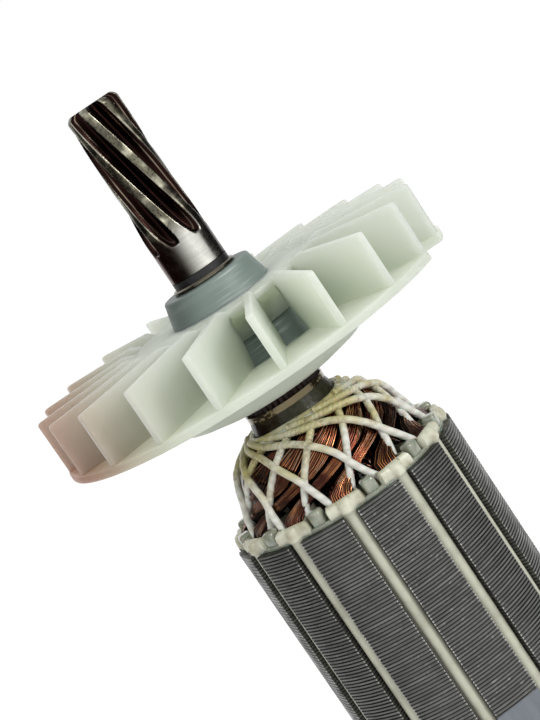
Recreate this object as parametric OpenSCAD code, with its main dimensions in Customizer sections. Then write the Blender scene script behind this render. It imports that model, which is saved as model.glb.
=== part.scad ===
// Armature of a small universal motor, drive end up.
// Frame: Z is the shaft axis and points to the pinion, and Z = 0 is the
// lower end of the front bearing journal. All lengths are in millimetres.

/* [Shaft] */
// Diameter of the front bearing journal
journal_d = 8.6; // [7.6:0.1:9.4]
// Length of the plain front journal
journal_len = 4.5; // [3:0.5:8]
// Diameter of the shaft inside the core
shaft_d = 10; // [9.6:0.1:11]
// Diameter of the shaft under the commutator
rear_seat_d = 9; // [8:0.1:9.6]
// Diameter of the rear bearing journal
rear_journal_d = 7; // [5:0.5:8]
// Length of the rear bearing journal
rear_journal_len = 12; // [8:0.5:18]
// Chamfer on the rear end of the shaft
end_chamfer = 0.6; // [0.2:0.1:1]

/* [Pinion] */
// Tip diameter of the helical pinion
pinion_d = 8; // [7:0.1:8.4]
// Length of the toothed shaft, run-out included
pinion_len = 21.85; // [16:0.05:28]
// Number of teeth
pinion_teeth = 7; // [5:1:8]
// Angle from the X axis to a tooth where the journal starts
pinion_phase = 27.4; // [0:0.1:72]
// Share of the tooth pitch that the land on top of a tooth takes
tooth_land = 0.36; // [0.2:0.02:0.5]
// Length over which the free end is rounded
tip_round = 0.9; // [0.4:0.1:1.2]
// Depth of the tooth spaces
tooth_depth = 1.55; // [1:0.05:1.8]
// Length along the shaft in which the teeth turn once, left hand
helix_lead = 90; // [60:5:150]
// Length over which the tooth spaces run out
runout_len = 5; // [3:0.5:8]

/* [Rings under the front bearing] */
// Height of the black rubber ring
seal_h = 0.95; // [0.6:0.05:1.2]
// Height of the retaining washer
washer_h = 0.62; // [0.4:0.02:1]
// Diameter of the retaining washer
washer_d = 9.7; // [9.6:0.1:11]
// Depth of the groove that both rings sit in
ring_groove = 0.6; // [0.4:0.1:1]

/* [Fan collar] */
// Height of the collar, from the retaining washer to the floor of the fan
collar_h = 16.3; // [15:0.1:18]
// Diameter of the collar's top face
collar_top_d = 13.6; // [12.6:0.1:14]
// Diameter of the collar at the fan's hub disc
collar_mid_d = 15.3; // [14.6:0.1:16]
// Diameter of the collar's foot
collar_foot_d = 19; // [17:0.5:20]

/* [Fan] */
// Outer diameter of the fan
fan_d = 60.6; // [54:0.2:66]
// Number of blades
blade_count = 20; // [12:1:24]
// Height of the blades above the plate
blade_h = 8.55; // [7.5:0.05:9.5]
// Height that a blade's top edge loses towards its outer end
blade_fall = 0.7; // [0:0.1:1.2]
// Thickness of a blade
blade_t = 1.05; // [0.8:0.05:1.4]
// Angle that a blade's inner end runs ahead of its outer end
blade_lead = 12; // [0:1:16]
// Angle from the view axis to the outer end of the first blade
blade_phase = 3.6; // [0:0.1:18]
// Thickness of the fan's plate
plate_t = 1.25; // [1:0.05:1.6]
// Diameter of the hub disc that joins the blades' inner ends
hub_disc_d = 28; // [26:0.5:30]
// Thickness of the hub disc
hub_disc_t = 0.95; // [0.7:0.05:1.3]
// Distance from the top of the blades down to the hub disc
hub_disc_drop = 0.7; // [0:0.1:1]
// Diameter at which the plate turns down into the dish
dish_d = 35; // [33:0.5:38]
// Depth of the dish below the plate
dish_depth = 4.75; // [4:0.05:5.2]
// Radial depth of the chip that has broken out of the rim
chip_depth = 3.2; // [1:0.1:4]

/* [Spacers between fan and winding] */
// Height of the knurled spacer
spacer_h = 1.7; // [1.2:0.1:2.5]
// Diameter of the knurled spacer
spacer_d = 11.9; // [11.6:0.1:12.6]
// Height of the brass ring
brass_h = 0.9; // [0.6:0.1:1.4]
// Diameter of the brass ring
brass_d = 12.4; // [12:0.1:13]
// Height of the sleeve's cone that stands out of the winding
sleeve_cone_h = 2.6; // [2:0.1:3.5]
// Diameter of the sleeve where it enters the winding
sleeve_d = 13.7; // [13:0.1:14]
// Wall of the insulating sleeves on the shaft
sleeve_wall = 0.85; // [0.6:0.05:0.95]

/* [Core] */
// Outer diameter of the laminated core
core_d = 35; // [34:0.5:38]
// Length of the laminated core
core_len = 46; // [36:0.5:60]
// Distance from the top of the sleeve's cone down to the core
head_len = 14.35; // [14:0.05:17]
// Width of a tooth
tooth_w = 3.2; // [2.8:0.1:3.5]
// Radius of the bottom of the slots
slot_floor_r = 9.5; // [9.2:0.1:9.8]
// Thickness of the tooth tips
tip_t = 1.35; // [1.2:0.05:1.6]
// Width of the slot openings
slot_mouth = 1.5; // [1.2:0.1:2]
// Angle from the view axis to the first slot
slot_phase = -4.8; // [-15:0.1:15]
// Length of the balancing cut at the rear end of the core
balance_len = 5.7; // [4:0.1:12]
// Depth of the balancing cut
balance_depth = 0.6; // [0.4:0.1:1]

/* [Insulation] */
// Thickness of the end plates
end_plate_t = 0.6; // [0.4:0.05:1]
// Height of the blocks on the end plates
block_h = 2.3; // [1.5:0.1:3]
// Width of the blocks on the end plates
block_w = 1.66; // [1.2:0.02:2]
// Thickness of the slot liners
liner_t = 0.25; // [0.15:0.01:0.3]
// Length of liners and wedges beyond the core at each end
liner_over = 2.1; // [1.5:0.1:2.4]
// Thickness of the slot wedges
wedge_t = 0.45; // [0.3:0.05:0.5]

/* [Lacing] */
// Diameter of the lacing cord
cord_d = 1.1; // [0.8:0.05:1.2]
// Angle that an over cord sweeps from the sleeve to its slot
over_sweep = 70; // [50:1:80]
// Angle that an under cord sweeps from the sleeve to its slot
under_sweep = 40; // [25:1:50]

/* [Commutator] */
// Diameter of the brush track
comm_d = 24; // [22:0.5:26]
// Length of the bars
comm_len = 17; // [14:0.5:20]
// Radial depth of a bar
bar_depth = 2.6; // [2:0.1:3]
// Width of the slots between the bars
bar_gap = 0.6; // [0.4:0.05:0.8]
// Height of the hooks above the brush track
hook_h = 1.4; // [1:0.1:2]
// Length of the hooks along the shaft
hook_len = 2.4; // [2:0.1:3]
// Width of the hooks
hook_w = 1.4; // [1:0.1:1.8]
// Distance from the rear winding to the commutator
comm_space = 2; // [1.5:0.1:4]

/* [Hidden] */
slots = 12;
pitch = 360 / slots;
bars = 2 * slots;
coil_span = 5 * pitch;
fit_gap = 0.02;
two = [for (i = [1 : slots]) str(i < 10 ? "0" : "", i)];

// Levels along the shaft, from the pinion down
tip_z = journal_len + pinion_len;
washer_top = -seal_h - fit_gap;
collar_top = washer_top - washer_h - fit_gap;
collar_foot = collar_top - collar_h;
floor_t = 1.25;
fan_floor = collar_foot - fit_gap - floor_t;
plate_bottom = fan_floor + dish_depth;
plate_top = plate_bottom + plate_t;
blade_top = plate_top + blade_h;
disc_top = blade_top - hub_disc_drop;
spacer_bottom = fan_floor - spacer_h - fit_gap;
brass_bottom = spacer_bottom - brass_h - fit_gap;
sleeve_top = brass_bottom - fit_gap;
core_top = sleeve_top - head_len;
core_bottom = core_top - core_len;
rear_head = 11.6;
comm_top = core_bottom - rear_head - comm_space;
comm_bottom = comm_top - comm_len;
rear_shoulder = comm_bottom - 1.5;
rear_end = rear_shoulder - rear_journal_len;

// Round parts are exact, and this only sets how finely they are drawn
$fn = 96;

// Turn that puts a feature at angle a from the view axis, which is -Y
module at_angle(a) {
    rotate([0, 0, a - 90]) children();
}

// A ring with its own bore, standing on z
module ring(z, h, d, bore) {
    translate([0, 0, z]) difference() {
        cylinder(h = h, d = d);
        translate([0, 0, -1]) cylinder(h = h + 2, d = bore);
    }
}

function lerp(a, b, t) = a + (b - a) * t;

// Smooth curve through a list of points: the value at t, counted in points
function spline_at(p, t) =
    let (n = len(p) - 1,
         i = min(max(floor(t), 0), n - 1),
         u = t - i,
         a = p[max(i - 1, 0)], b = p[i], c = p[i + 1], d = p[min(i + 2, n)])
    b + 0.5 * u * ((c - a) + u * ((2 * a - 5 * b + 4 * c - d) + u * (3 * b - a - 3 * c + d)));

// ---- Shaft with its pinion ----

// How deep the tooth spaces are at height z: full depth, then a run-out
runout_top = journal_len + runout_len;
function space_depth(z) =
    z >= runout_top ? tooth_depth
    : tooth_depth * sqrt(max(0, 1 - pow((runout_top - z) / runout_len, 2)));

// Radius of the blank, which widens from the teeth to the journal
function blank_r(z) =
    let (t = min(max((z - journal_len - 2) / 6, 0), 1))
    lerp(journal_d / 2 - fit_gap, pinion_d / 2, t)
    - 0.85 * pow(max(0, z - tip_z + tip_round), 2) / tip_round;

// Share of the space depth at angle a round one tooth pitch, 0 on the tooth
function space_shape(a) =
    let (p = 360 / pinion_teeth, x = abs((a % p + p) % p - p / 2) / (p / 2))
    x > 1 - tooth_land ? 0 : pow(cos(90 * x / (1 - tooth_land)), 0.7);

pinion_sides = 8 * pinion_teeth;
pinion_rings = 23;
pinion_z = concat(
    [journal_len - 0.4, journal_len + 0.02],
    [for (i = [1 : 7]) journal_len + runout_len * (1 - cos(90 * i / 7))],
    [for (i = [1 : pinion_rings - 11]) lerp(runout_top, tip_z - tip_round, i / (pinion_rings - 11))],
    [tip_z - 0.4 * tip_round, tip_z]);

function pinion_ring(z) = [
    for (i = [0 : pinion_sides - 1])
    let (a = i * 360 / pinion_sides,
         r = blank_r(z) - space_depth(z) * space_shape(a),
         turn = a + pinion_phase - 360 * (z - journal_len) / helix_lead)
    [r * cos(turn), r * sin(turn), z]];

// Closed skin over a stack of rings with the same number of points
function tube_faces(rings, n) = concat(
    [for (k = [0 : rings - 2]) for (i = [0 : n - 1])
        let (a = k * n + i, b = k * n + (i + 1) % n) [a, a + n, b]],
    [for (k = [0 : rings - 2]) for (i = [0 : n - 1])
        let (a = k * n + i, b = k * n + (i + 1) % n) [b, a + n, b + n]]);

module pinion() {
    n = pinion_sides;
    count = len(pinion_z);
    points = [for (z = pinion_z) each pinion_ring(z)];
    faces = concat(tube_faces(count, n),
        [[for (i = [0 : n - 1]) i]],
        [[for (i = [n - 1 : -1 : 0]) (count - 1) * n + i]]);
    polyhedron(points = points, faces = faces);
}

module shaft() {
    color("#6b655c") {
        pinion();
        difference() {
            union() {
                translate([0, 0, core_top + 5]) cylinder(h = journal_len - core_top - 5, d = journal_d);
                translate([0, 0, comm_top]) cylinder(h = sleeve_top - comm_top, d = shaft_d);
                translate([0, 0, rear_shoulder]) cylinder(h = comm_top - rear_shoulder + 1, d = rear_seat_d);
                translate([0, 0, rear_end + end_chamfer])
                    cylinder(h = rear_shoulder - rear_end, d = rear_journal_d);
                translate([0, 0, rear_end])
                    cylinder(h = end_chamfer, d1 = rear_journal_d - 2 * end_chamfer, d2 = rear_journal_d);
            }
            ring(collar_top, -collar_top, journal_d + 2, journal_d - 2 * ring_groove);
        }
    }
}

// ---- Rings under the front bearing ----

module seal_ring() {
    color("#141414")
        ring(-seal_h, seal_h - fit_gap, journal_d, journal_d - 2 * ring_groove + 2 * fit_gap);
}

module retaining_washer() {
    bore = journal_d - 2 * ring_groove + 2 * fit_gap;
    color("#8d8a80") rotate_extrude() polygon([
        [bore / 2, washer_top - washer_h],
        [washer_d / 2 - 0.15, washer_top - washer_h],
        [washer_d / 2, washer_top - washer_h + 0.15],
        [washer_d / 2, washer_top - 0.2],
        [washer_d / 2 - 0.25, washer_top],
        [bore / 2, washer_top]]);
}

// ---- Fan and its collar ----

foot_slope = (collar_foot_d - collar_mid_d) / 2 / (disc_top - collar_foot);
function collar_r(z) = collar_mid_d / 2 + (disc_top - z) * foot_slope;

module fan_collar() {
    edge = 0.35;
    top_r = collar_top_d / 2;
    color("#9fb0ae") rotate_extrude() difference() {
        union() {
            polygon([
                [0, collar_foot], [collar_foot_d / 2, collar_foot],
                [collar_mid_d / 2, disc_top], [top_r, collar_top - edge],
                [top_r - edge, collar_top - edge], [0, collar_top - edge]]);
            translate([0, collar_top - edge]) square([top_r - edge, edge]);
            translate([top_r - edge, collar_top - edge]) circle(r = edge, $fn = 32);
        }
        translate([-1, collar_foot - 1]) square([1 + journal_d / 2 + fit_gap, collar_h + 2]);
    }
}

// Half section of the plate, its dish and the floor under the collar
module dish_section() {
    bend = 1.2;
    polygon([
        [journal_d / 2 + fit_gap, fan_floor],
        [collar_foot_d / 2 + 1.4, fan_floor],
        [dish_d / 2 - 3.2, fan_floor + 0.9],
        [dish_d / 2 - 0.9, fan_floor + 2.7],
        [dish_d / 2, plate_bottom],
        [fan_d / 2 - 0.25, plate_bottom],
        [fan_d / 2, plate_bottom + 0.25],
        [fan_d / 2, plate_top - 0.2],
        [fan_d / 2 - 0.2, plate_top],
        [dish_d / 2 - bend + 0.2, plate_top],
        [dish_d / 2 - bend - 0.6, plate_top - 1.2],
        [dish_d / 2 - bend - 1.6, fan_floor + 3.4],
        [dish_d / 2 - bend - 3.1, fan_floor + 2.1],
        [collar_foot_d / 2 + 1.1, fan_floor + floor_t],
        [journal_d / 2 + fit_gap, fan_floor + floor_t]]);
}

// Half section of the hub: the disc on top and the cone that hugs the collar
module hub_section() {
    disc_r = hub_disc_d / 2;
    low = disc_top - 5.2;
    polygon([
        [collar_r(disc_top) + fit_gap, disc_top],
        [disc_r - 0.2, disc_top],
        [disc_r, disc_top - 0.2],
        [disc_r, disc_top - hub_disc_t],
        [disc_r - 1.6, disc_top - hub_disc_t - 0.5],
        [disc_r - 3.4, disc_top - 3],
        [collar_r(low) + 0.9, low],
        [collar_r(low) + fit_gap, low]]);
}

// One blade: its side view, stood up between its outer and inner end
module blade() {
    outer = [fan_d / 2 - 0.12, 0];
    inner_r = hub_disc_d / 2 - 0.6;
    inner = [inner_r * cos(blade_lead), inner_r * sin(blade_lead)];
    along = inner - outer;
    run = norm(along);
    translate([outer[0], outer[1], 0])
        rotate([0, 0, atan2(along[1], along[0])])
        rotate([90, 0, 0])
        translate([0, 0, -blade_t / 2])
        linear_extrude(blade_t)
        polygon([
            [0.1, plate_top - 0.5], [0.1, blade_top - blade_fall - 0.25], [0.35, blade_top - blade_fall],
            [run - 2.4, blade_top], [run, disc_top - 0.1], [run, disc_top - hub_disc_t - 0.1],
            [run - 0.5, disc_top - 2], [run - 0.7, disc_top - 4],
            [run - 2.3, plate_top - 0.4]]);
}

// The piece of rim that is missing between two neighbouring blades
module rim_chip() {
    start = blade_phase + 3 * 360 / blade_count + 1.6;
    stop = blade_phase + 4 * 360 / blade_count - 1.6;
    out = fan_d;
    deep = fan_d / 2 - chip_depth;
    rotate([0, 0, -90]) translate([0, 0, plate_bottom - 1]) linear_extrude(plate_t + 1.2)
        polygon([
            [(fan_d / 2 - 0.6) * cos(start), (fan_d / 2 - 0.6) * sin(start)],
            [out * cos(start), out * sin(start)],
            [out * cos(stop), out * sin(stop)],
            [deep * cos(stop), deep * sin(stop)],
            [deep * cos(start + 5), deep * sin(start + 5)]]);
}

module fan() {
    color("#dfe6d6") difference() {
        union() {
            rotate_extrude() dish_section();
            rotate_extrude() hub_section();
            for (i = [0 : blade_count - 1])
                at_angle(blade_phase + i * 360 / blade_count) blade();
        }
        rim_chip();
    }
}

// ---- Spacers and insulating sleeves on the shaft ----

module knurled_spacer() {
    n = 40;
    color("#3b322c") translate([0, 0, spacer_bottom]) linear_extrude(spacer_h)
        difference() {
            polygon([for (i = [0 : 2 * n - 1])
                (spacer_d / 2 - (i % 2) * 0.3) * [cos(180 * i / n), sin(180 * i / n)]]);
            circle(d = journal_d + 2 * fit_gap);
        }
}

module brass_ring() {
    color("#a08a55")
        ring(brass_bottom, brass_h, brass_d, journal_d + 2 * fit_gap);
}

tube_d = shaft_d + 2 * fit_gap + 2 * sleeve_wall;

module front_sleeve() {
    color("#55585a") difference() {
        union() {
            translate([0, 0, core_top]) cylinder(h = sleeve_top - core_top - sleeve_cone_h + 0.3, d = tube_d);
            translate([0, 0, sleeve_top - sleeve_cone_h])
                cylinder(h = sleeve_cone_h, d1 = sleeve_d, d2 = brass_d - 0.2);
        }
        translate([0, 0, core_top - 1]) cylinder(h = head_len + 2, d = shaft_d + 2 * fit_gap);
    }
}

module rear_sleeve() {
    color("#55585a")
        ring(comm_top + fit_gap, core_bottom - comm_top - 2 * fit_gap, tube_d, shaft_d + 2 * fit_gap);
}

// ---- Laminated core ----

// Half width of a slot at height y above the axis, between straight teeth
function slot_hw(y) = y * tan(pitch / 2) - tooth_w / 2 / cos(pitch / 2);
slot_top_r = core_d / 2 - tip_t;

module slot_shape(grow = 0) {
    polygon([
        [slot_floor_r - grow, -slot_hw(slot_floor_r) - grow],
        [slot_top_r + grow, -slot_hw(slot_top_r) - grow],
        [slot_top_r + grow, slot_hw(slot_top_r) + grow],
        [slot_floor_r - grow, slot_hw(slot_floor_r) + grow]]);
}

module all_slots() {
    for (i = [0 : slots - 1]) rotate([0, 0, slot_phase - 90 + i * pitch]) children();
}

module core() {
    color("#5e6066") difference() {
        translate([0, 0, core_bottom]) linear_extrude(core_len) difference() {
            circle(d = core_d);
            circle(d = shaft_d + 2 * fit_gap);
            all_slots() {
                slot_shape();
                translate([slot_top_r - 0.2, -slot_mouth / 2]) square([2 * tip_t, slot_mouth]);
            }
        }
        at_angle(slot_phase + 1.5 * pitch)
            translate([core_d / 2 - balance_depth, -tooth_w * 1.5, core_bottom - 1])
            cube([2 * balance_depth, tooth_w * 3, balance_len + 1]);
    }
}

// ---- Insulation ----

block_out = core_d / 2 - 1;
block_in = block_out - 2;

plate_inset = 1;

// An end plate lies on the end face of the core, with its blocks on one side
module end_plate_solid() {
    linear_extrude(end_plate_t) difference() {
        circle(d = core_d - 2 * plate_inset);
        circle(d = tube_d + 2 * fit_gap);
        all_slots() {
            slot_shape(0.15);
            translate([slot_top_r - 0.2, -slot_mouth / 2 - 0.2]) square([2 * tip_t, slot_mouth + 0.4]);
        }
    }
    for (i = [0 : slots - 1])
        at_angle(slot_phase + (i + 0.5) * pitch)
            translate([block_in, -block_w / 2, end_plate_t / 2])
            cube([block_out - block_in, block_w, block_h + end_plate_t / 2]);
}

module front_end_plate() {
    color("#8fa0a0") translate([0, 0, core_top + fit_gap]) end_plate_solid();
}

module rear_end_plate() {
    color("#8fa0a0") translate([0, 0, core_bottom - fit_gap]) mirror([0, 0, 1]) end_plate_solid();
}

liner_top_r = slot_top_r - wedge_t - 2 * fit_gap;
liner_len = core_len + 2 * liner_over;

// Folded paper that lines one slot
module slot_liner(i) {
    gap = fit_gap / cos(pitch / 2);
    wall = liner_t / cos(pitch / 2) + gap;
    y0 = slot_floor_r + fit_gap;
    y1 = y0 + liner_t;
    y2 = liner_top_r;
    color("#d9d4b8") at_angle(slot_phase + i * pitch)
        translate([0, 0, core_bottom - liner_over]) linear_extrude(liner_len)
        polygon([
            [y0, -slot_hw(y0) + gap], [y2, -slot_hw(y2) + gap], [y2, -slot_hw(y2) + wall],
            [y1, -slot_hw(y1) + wall], [y1, slot_hw(y1) - wall],
            [y2, slot_hw(y2) - wall], [y2, slot_hw(y2) - gap], [y0, slot_hw(y0) - gap]]);
}

// Strip that closes one slot, with a rib that stands in the slot's opening
module slot_wedge(i) {
    y0 = slot_top_r - wedge_t - fit_gap;
    y1 = slot_top_r - fit_gap;
    rib_w = slot_mouth - 2 * fit_gap;
    rib_r = 1.3;
    rib_top = core_d / 2 - 0.5;
    color("#e6e1c6") at_angle(slot_phase + i * pitch)
        translate([0, 0, core_bottom - liner_over]) linear_extrude(liner_len) {
            polygon([[y0, -slot_hw(y0) + 0.05], [y1, -slot_hw(y0) + 0.05],
                     [y1, slot_hw(y0) - 0.05], [y0, slot_hw(y0) - 0.05]]);
            intersection() {
                translate([y1 - 0.2, -rib_w / 2]) square([2 * tip_t, rib_w]);
                translate([rib_top - rib_r, 0]) circle(r = rib_r);
            }
        }
}

// ---- Coils ----

// Room for the two coil sides in a slot, between its floor and its wedge
room_low = slot_floor_r + fit_gap + liner_t;
room = liner_top_r - room_low;
side_gap = 0.068 * room;
out_t = 0.375 * room;
in_t = 0.39 * room;
out_r = liner_top_r - side_gap - out_t / 2;
in_r = room_low + side_gap + in_t / 2;
function slot_room(y) = 2 * (slot_hw(y) - liner_t / cos(pitch / 2) - 0.15);
out_w = slot_room(out_r) - 0.3;
in_w = slot_room(in_r);

// Middle line of a coil's end turn: radius, height above the core, angle.
// It leaves the outer half of its slot, climbs and leans over its
// neighbours, turns inwards near the sleeve, and dives under them to the
// inner half of the slot five pitches on.
nose_r = tube_d / 2 + 1.23;
head_h = 0.69 * head_len;
function going_in(share) = lerp(nose_r, out_r, share);
function coming_out(share) = lerp(nose_r, in_r, share);
end_turn = [
    [out_r, 0, 0], [out_r, liner_over, 0], [going_in(0.865), 0.415 * head_h, 7],
    [going_in(0.68), 0.615 * head_h, 21], [going_in(0.5), 0.8 * head_h, 37],
    [going_in(0.3), 0.95 * head_h, 54], [going_in(0.14), head_h, 68], [nose_r, 0.89 * head_h, 82],
    [coming_out(0.14), 0.715 * head_h, 98], [coming_out(0.38), 0.545 * head_h, 115],
    [coming_out(0.665), 0.405 * head_h, 132], [in_r, liner_over + 0.4, coil_span],
    [in_r, 0, coil_span]];

// Section of the bundle at the same points: width on the side that faces
// out of the coil, width on the other side, thickness
bundle = [
    [out_w + 0.4, out_w - 0.4, out_t], [out_w + 0.4, out_w - 0.4, out_t],
    [1.03 * out_w, 0.94 * out_w, out_t], [0.97 * out_w, 0.94 * out_w, out_t],
    [0.88 * out_w, 0.88 * out_w, 0.95 * out_t], [0.69 * out_w, 0.66 * out_w, 0.86 * out_t],
    [0.58 * out_w, 0.5 * out_w, 0.8 * out_t], [0.55 * out_w, 0.47 * out_w, 0.73 * out_t],
    [0.6 * out_w, 0.6 * out_w, 0.82 * out_t], [0.66 * out_w, 0.75 * out_w, 0.9 * out_t],
    [0.6 * out_w, 0.78 * out_w, 0.95 * out_t], [in_w - 0.6, in_w + 0.6, in_t],
    [in_w - 0.6, in_w + 0.6, in_t]];

// The curve may swing past its end angles, and the slots don't let it
function turn_angle(p) = min(max(p[2], 0), coil_span);

function turn_point(p, z0, up, a0) =
    let (a = a0 + turn_angle(p)) [p[0] * cos(a), p[0] * sin(a), z0 + up * p[1]];

// Side-on normal of the end turn in its own half plane, carried round the axis
function turn_normal(p, q, up, a0, a) =
    let (dr = q[0] - p[0], dz = q[1] - p[1], l = norm([dr, dz]))
    [dz / l * cos(a0 + a), dz / l * sin(a0 + a), -up * dr / l];

function unit(v) = v / norm(v);

// The end turn starts and ends where the slot liners end, and is upright there
turn_first = 1;
turn_last = len(end_turn) - 2;
turn_steps = 20;
turn_t = [for (i = [0 : turn_steps]) lerp(turn_first, turn_last, i / turn_steps)];

// One six-sided ring of the bundle at t along the end turn
function bundle_ring(t, z0, up, a0) =
    let (e = 0.02,
         p = spline_at(end_turn, t),
         leave = t <= turn_first, enter = t >= turn_last,
         before = leave ? end_turn[0] : enter ? end_turn[turn_last] : spline_at(end_turn, t - e),
         after = leave ? end_turn[1] : enter ? end_turn[turn_last + 1] : spline_at(end_turn, t + e),
         c = turn_point(p, z0, up, a0),
         dir = unit(turn_point(after, z0, up, a0) - turn_point(before, z0, up, a0)),
         nor0 = turn_normal(before, after, up, a0, turn_angle(p)),
         side = unit(cross(dir, nor0)),
         nor = cross(side, dir),
         b = spline_at(bundle, t),
         h = b[2] / 2, w1 = b[0] / 2, w2 = b[1] / 2, wm = (w1 + w2) / 2)
    [c + nor * h + side * (w1 - 0.35), c + side * wm, c - nor * h + side * (w2 - 0.35),
     c - nor * h - side * (w2 - 0.35), c - side * wm, c + nor * h - side * (w1 - 0.35)];

// Swaps the two sides of a ring, so that both ends of the coil wind alike
function swap_sides(r) = [r[5], r[4], r[3], r[2], r[1], r[0]];

module coil(i) {
    a0 = slot_phase - 90 + i * pitch;
    front = [for (t = turn_t) bundle_ring(t, core_top, 1, a0)];
    last = len(turn_t) - 1;
    rear = [for (k = [last : -1 : 0]) swap_sides(bundle_ring(turn_t[k], core_bottom, -1, a0))];
    rings = concat(front, rear);
    count = len(rings);
    points = [for (r = rings) each r];
    n = 6;
    total = count * n;
    faces = [for (k = [0 : count - 1]) for (j = [0 : n - 1]) for (half = [0, 1])
        let (a = k * n + j, b = k * n + (j + 1) % n, c = (a + n) % total, d = (b + n) % total)
        half == 0 ? [a, b, c] : [b, d, c]];
    color("#7a3d1c") polyhedron(points = points, faces = faces);
}

// ---- Lacing ----

// Ring that the cords are tied to, where the sleeve leaves the winding
lace_ring_r = sleeve_d / 2 + cord_d / 2 + 0.1;
lace_ring_z = head_len - sleeve_cone_h - 0.1;

// Middle line of one cord: over the winding head at height lift on it, and
// then to the ring of cord round the sleeve
function cord_line(lift, a_low, a_top) =
    let (low = 1.5, high = 5.7, steps = 8)
    concat([for (i = [0 : steps])
        let (u = i / steps,
             t = lerp(low, high, u),
             p = spline_at(end_turn, t),
             q = spline_at(end_turn, t + 0.05),
             l = norm([q[0] - p[0], q[1] - p[1]]),
             h = spline_at(bundle, t)[2] / 2 + lift,
             r = p[0] + (q[1] - p[1]) / l * h,
             z = p[1] - (q[0] - p[0]) / l * h)
        [r, z, lerp(a_low, a_top, pow(u, 0.85))]],
        [[lace_ring_r + 0.15, lace_ring_z + (lift > cord_d ? 0.35 : -0.1), a_top + sign(a_top - a_low) * 7]]);

function cord_points(line, z0, up) =
    [for (p = line) [p[0] * cos(p[2] - 90), p[0] * sin(p[2] - 90), z0 + up * p[1]]];

// Round tube along a list of points
module cord(pts) {
    n = 6;
    count = len(pts);
    rings = [for (k = [0 : count - 1])
        let (dir = unit(pts[min(k + 1, count - 1)] - pts[max(k - 1, 0)]),
             out = unit([pts[k][0], pts[k][1], 0]),
             side = unit(cross(dir, out)),
             nor = cross(side, dir))
        for (j = [0 : n - 1])
            pts[k] + cord_d / 2 * (cos(j * 360 / n) * nor + sin(j * 360 / n) * side)];
    polyhedron(points = rings, faces = concat(tube_faces(count, n),
        [[for (j = [0 : n - 1]) j]],
        [[for (j = [n - 1 : -1 : 0]) (count - 1) * n + j]]));
}

module lacing(z0, up) {
    low_lift = cord_d / 2 + 0.05;
    high_lift = low_lift + cord_d + 0.03;
    for (i = [0 : slots - 1]) {
        a = slot_phase + i * pitch;
        cord(cord_points(cord_line(low_lift, a + 9, a + 9 + under_sweep), z0, up));
        cord(cord_points(cord_line(high_lift, a - 9, a - 9 - over_sweep), z0, up));
    }
    translate([0, 0, z0 + up * lace_ring_z]) rotate_extrude()
        translate([lace_ring_r, 0]) circle(d = cord_d, $fn = 24);
}

module front_lacing() {
    color("#e8e4d2") lacing(core_top, 1);
}

module rear_lacing() {
    color("#e8e4d2") lacing(core_bottom, -1);
}

// ---- Commutator ----

hub_r = comm_d / 2 - bar_depth;

module commutator_hub() {
    color("#3a2a22") difference() {
        union() {
            translate([0, 0, comm_bottom]) cylinder(h = comm_len, r = hub_r - fit_gap);
            translate([0, 0, comm_bottom - 1]) cylinder(h = 1.2, r = hub_r - 1);
        }
        translate([0, 0, comm_bottom - 2]) cylinder(h = comm_len + 4, d = rear_seat_d + 2 * fit_gap);
    }
}

module commutator_bar() {
    half = 180 / bars;
    difference() {
        union() {
            translate([0, 0, comm_bottom + 0.6]) linear_extrude(comm_len - 0.6) intersection() {
                difference() {
                    circle(d = comm_d);
                    circle(r = hub_r);
                }
                polygon([[0, 0], comm_d * [cos(half), -sin(half)], comm_d * [cos(half), sin(half)]]);
            }
            translate([comm_d / 2 - 0.5, -hook_w / 2, comm_top - hook_len]) cube([hook_h + 0.5, hook_w, hook_len]);
        }
        rotate([0, 0, half]) translate([0, -bar_gap / 2, comm_bottom - 1]) cube([comm_d, bar_gap, comm_len + 2]);
        rotate([0, 0, -half]) translate([0, -bar_gap / 2, comm_bottom - 1]) cube([comm_d, bar_gap, comm_len + 2]);
        translate([comm_d / 2 + 0.35, -hook_w, comm_top - hook_len + 0.7]) cube([0.6, 2 * hook_w, hook_len]);
    }
}

module commutator_bars() {
    color("#b06a3c") for (i = [0 : bars - 1]) rotate([0, 0, i * 360 / bars]) commutator_bar();
}

shaft();
seal_ring();
retaining_washer();
fan_collar();
fan();
knurled_spacer();
brass_ring();
front_sleeve();
core();
front_end_plate();
rear_end_plate();
for (i = [0 : slots - 1]) {
    slot_liner(i);
    coil(i);
    slot_wedge(i);
}
front_lacing();
rear_lacing();
rear_sleeve();
commutator_hub();
commutator_bars();
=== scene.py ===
"""Looks of the motor armature: its wires, cord, laminations, papers, fan and turned steel."""
import random
from math import asin, atan2, cos, degrees, hypot, pi, radians, sin, sqrt, tan, tau

import bpy
from bpy.props import FloatProperty, FloatVectorProperty, IntProperty, PointerProperty
from bpy.types import Operator, Panel, PropertyGroup
from mathutils import Matrix, Vector, noise


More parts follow.
